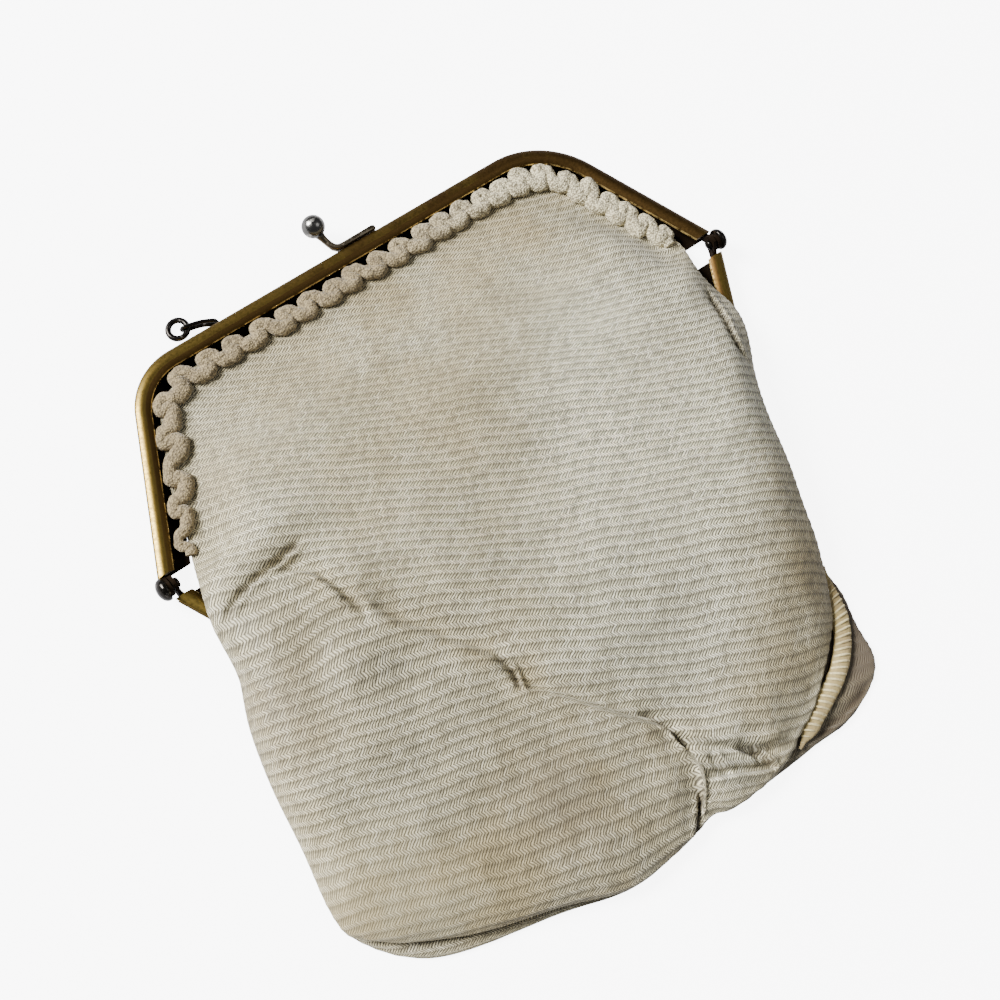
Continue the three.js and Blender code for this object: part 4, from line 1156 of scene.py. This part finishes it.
# the turns are noted on the path before it moves, so that the roll's own creases can follow them
noted_path = noted(noted(noted(fine_path, "turns", turns), "stout", stout), "crisper", crisper)
roll_section = oval(ruche_in["Width"], ruche_in["Height"], TRIM_SIDES)
roll = sweep(upright(shifted(noted_path, moved)), roll_section, note("stout"))
gathers = calc("SINE", times(note("turns"), PUCKERS))
crumple = calc("ABSOLUTE", minus(noise(position(), 330, 1.5), 0.5))
pucker = times(ruche_in["Crease"], note("crisper"), plus(times(gathers, 0.3), times(crumple, 9.0)))
close_tree(shifted(roll, scaled(facing(), pucker)), ruche_in["Silk"])

TRIM_HEIGHT = 2.8
CREPE = crepe_silk()
trim_course = frame_outline(TRIM_INSET, TRIM_LEFT_END)[:-1] + frame_outline(TRIM_INSET, TRIM_RIGHT_END)[-1:]
trim_path = path_object("trim_path", [place(x, y, TRIM_BASE + TRIM_HEIGHT / 2) for x, y in trim_course])
trim = grown("trim_ruched_roll", trim_path, ruche_tree, Pitch=9.0 * MM, Gather=0.32, Swing=1.75 * MM,
             Bulge=0.55 * MM, Lean=0.8 * MM, Lag=0.3 * MM, Heft=0.12, Width=3.55 * MM, Height=TRIM_HEIGHT * MM,
             Slim=0.9, Taper=0.1, Crease=0.2 * MM, Uneven=5.0 * MM, Silk=CREPE)
finished(trim, "trim_ruching")


# Side seam: the seam allowance at the lower right, rolled into a narrow ridge beside the front
# panel and lying on the back panel. It is whipped over with a slanting stitch.
SEAM_COURSE = [
    (51.7, -82.8), (50.4, -86.1), (48.7, -91.0), (47.0, -95.4), (44.5, -99.4), (41.4, -102.6), (37.7, -105.4),
    (33.4, -107.4), (29.1, -109.2), (25.5, -110.6), (22.2, -112.1), (18.2, -114.0),
]
SEAM_HEIGHT = 2.35
SEAM_WIDE = 4.6
SEAM_HIGH = 1.8
SEAM_CLOTH = (0.38, 0.29, 0.115)
SEAM_SOILED = (0.24, 0.17, 0.08)
STITCH_SILK = (0.70, 0.60, 0.31)


def seam_cloth(name, clean):
    material, surface = shader(name, Roughness=0.82, Sheen_Weight=0.15, Sheen_Roughness=0.5)
    coords = object_coords()
    soiled = between(noise(coords, 150, 4), 0.42, 0.72)
    threads = noise(stretched(coords, (1, 1, 1), 0.6), 1700, 3, 0.6)
    colour = blend(times(soiled, 0.65), clean, SEAM_SOILED)
    colour = blend(between(threads, 0.35, 0.6, 0.4, 0), colour, SEAM_SOILED)
    fed(surface, Base_Color=colour)
    bump(surface, threads, 0.18 * MM, 0.8)
    return material


SEAM_STEP = 0.3
SEAM_SIDES = 20
# a stitch's feet and top, as shares of the ridge's width and height
STITCH_OUT, STITCH_FOOT, STITCH_TOP = 0.46, 0.12, 0.98

seam_tree, seam_in = node_tree(
    "whipped_seam", Wide=0.0, High=0.0, Pucker=0.0, Stitch_Gap=0.0, Stitch_Slant=0.0, Thread=0.0,
    Cloth=bpy.types.Material, Silk=bpy.types.Material)
seam_share = step("GeometryNodeSplineParameter")["Factor"]
seam_taper = calc("MINIMUM", between(seam_share, 0, 0.25, 0.3, 1), between(seam_share, 0.86, 1, 1, 0.15))
seam_curve = noted(upright(resampled(seam_in["Geometry"], SEAM_STEP * MM)), "taper", seam_taper)
seam_ridge = sweep(seam_curve, oval(seam_in["Wide"], seam_in["High"], SEAM_SIDES), note("taper"))
seam_lumps = times(minus(noise(position(), 450, 2), 0.5), seam_in["Pucker"])
seam_ridge = shifted(seam_ridge, scaled(facing(), seam_lumps))
# one stitch is a short bent thread across the top of the ridge, set down again and again along it
stitch_foot = times(seam_in["High"], STITCH_FOOT)
stitch_arc = step("GeometryNodeCurveQuadraticBezier", Resolution=8,
                  Start=vector(times(seam_in["Wide"], -STITCH_OUT), 0.0, stitch_foot),
                  Middle=vector(0.0, 0.0, times(seam_in["High"], STITCH_TOP)),
                  End=vector(times(seam_in["Wide"], STITCH_OUT), 0.0, stitch_foot))[0]
stitch_thread = noted(sweep(stitch_arc, circle(seam_in["Thread"], 6)), "stitch", 1.0)
stitch_places = step("GeometryNodeCurveToPoints", "LENGTH", Curve=seam_curve, Length=seam_in["Stitch_Gap"])
stitch_aim = parts(stitch_places["Tangent"])
stitch_turn = plus(minus(calc("ARCTAN2", stitch_aim["Y"], stitch_aim["X"]), pi / 2), seam_in["Stitch_Slant"])
stitches = step("GeometryNodeInstanceOnPoints", Points=stitch_places["Points"], Instance=stitch_thread,
                Rotation=vector(0.0, 0.0, stitch_turn), Scale=note("taper"))[0]
sewn = in_hand.nodes.new("GeometryNodeJoinGeometry")
for part in (seam_ridge, stitches):
    feed(sewn.inputs[0], part)
close_tree(sewn.outputs[0], seam_in["Cloth"], (calc("GREATER_THAN", note("stitch"), 0.5), seam_in["Silk"]))

seam_points = smooth_path([place(x, y, SEAM_HEIGHT) for x, y in SEAM_COURSE], 8)
seam = grown("side_seam_ridge", path_object("seam_path", seam_points), seam_tree, Wide=SEAM_WIDE * MM,
             High=SEAM_HIGH * MM, Pucker=0.7 * MM, Stitch_Gap=1.6 * MM, Stitch_Slant=0.4, Thread=0.34 * MM,
             Cloth=seam_cloth("seam_cloth", SEAM_CLOTH), Silk=seam_cloth("stitch_silk", STITCH_SILK))
finished(seam, "side_seam")


# Stage: a pale floor, a soft key light from the left of the bar and a faint fill, and the camera
# above the purse, rolled as the photograph is.
FLOOR_HALF = 15
BACKDROP_GLOW = 7.0
SKY_LIGHT = 0.17


def seen_straight():
    """1 where the floor or backdrop itself is seen, 0 where it lights the purse."""
    return step("ShaderNodeLightPath")["Is Camera Ray"]


floor_material, floor_surface = shader(
    "pale_floor", Roughness=0.7, Base_Color=(0.72, 0.72, 0.74), Emission_Color=(1.0, 1.0, 1.0))
fed(floor_surface, Emission_Strength=times(seen_straight(), BACKDROP_GLOW))
floor_points = [(x * FLOOR_HALF, y * FLOOR_HALF, 0) for x, y in ((-1, -1), (1, -1), (1, 1), (-1, 1))]
floor = mesh_object("floor", floor_points, [(0, 1, 2, 3)], floor_material, smooth=False)

# name, place, width and watts of each light
LIGHTS = [("key", Vector((-2.05, 2.15, 2.2)), 1.7, 515), ("fill", Vector((1.1, -0.7, 1.8)), 1.2, 8)]
for label, light_place, wide, watts in LIGHTS:
    lamp = bpy.data.lights.new(label, "AREA")
    lamp.shape = "DISK"
    lamp.size, lamp.energy = wide, watts
    light = linked(label, lamp)
    light.location = light_place
    light.rotation_euler = (-light_place).to_track_quat("-Z", "Y").to_euler()
world = bpy.data.worlds.new("studio")
world.use_nodes = True
in_hand = world.node_tree
fed(in_hand.nodes["Background"], Color=(0.95, 0.97, 1.0),
    Strength=calc("MULTIPLY_ADD", seen_straight(), BACKDROP_GLOW, SKY_LIGHT))
bpy.context.scene.world = world

CAMERA_AZIMUTH = radians(-66.52)
CAMERA_ELEVATION = radians(69.08)
CAMERA_ROLL = radians(31.51)
CAMERA_DISTANCE = 414.5
CAMERA_FIELD = radians(32.0)
CAMERA_AIM = (-6.31, -25.16, 5.0)

back = Vector((sin(CAMERA_AZIMUTH) * cos(CAMERA_ELEVATION),
               -cos(CAMERA_AZIMUTH) * cos(CAMERA_ELEVATION), sin(CAMERA_ELEVATION)))
right = Vector((0, 0, 1)).cross(back).normalized()
turn = Matrix((right, back.cross(right), back)).transposed() @ Matrix.Rotation(CAMERA_ROLL, 3, "Z")
camera = linked("camera", bpy.data.cameras.new("camera"))
camera.data.sensor_fit = "HORIZONTAL"
camera.data.angle = CAMERA_FIELD
camera.data.clip_start = 0.01
camera.matrix_world = Matrix.Translation(place(*CAMERA_AIM) + back * CAMERA_DISTANCE * MM) @ turn.to_4x4()
bpy.context.scene.camera = camera
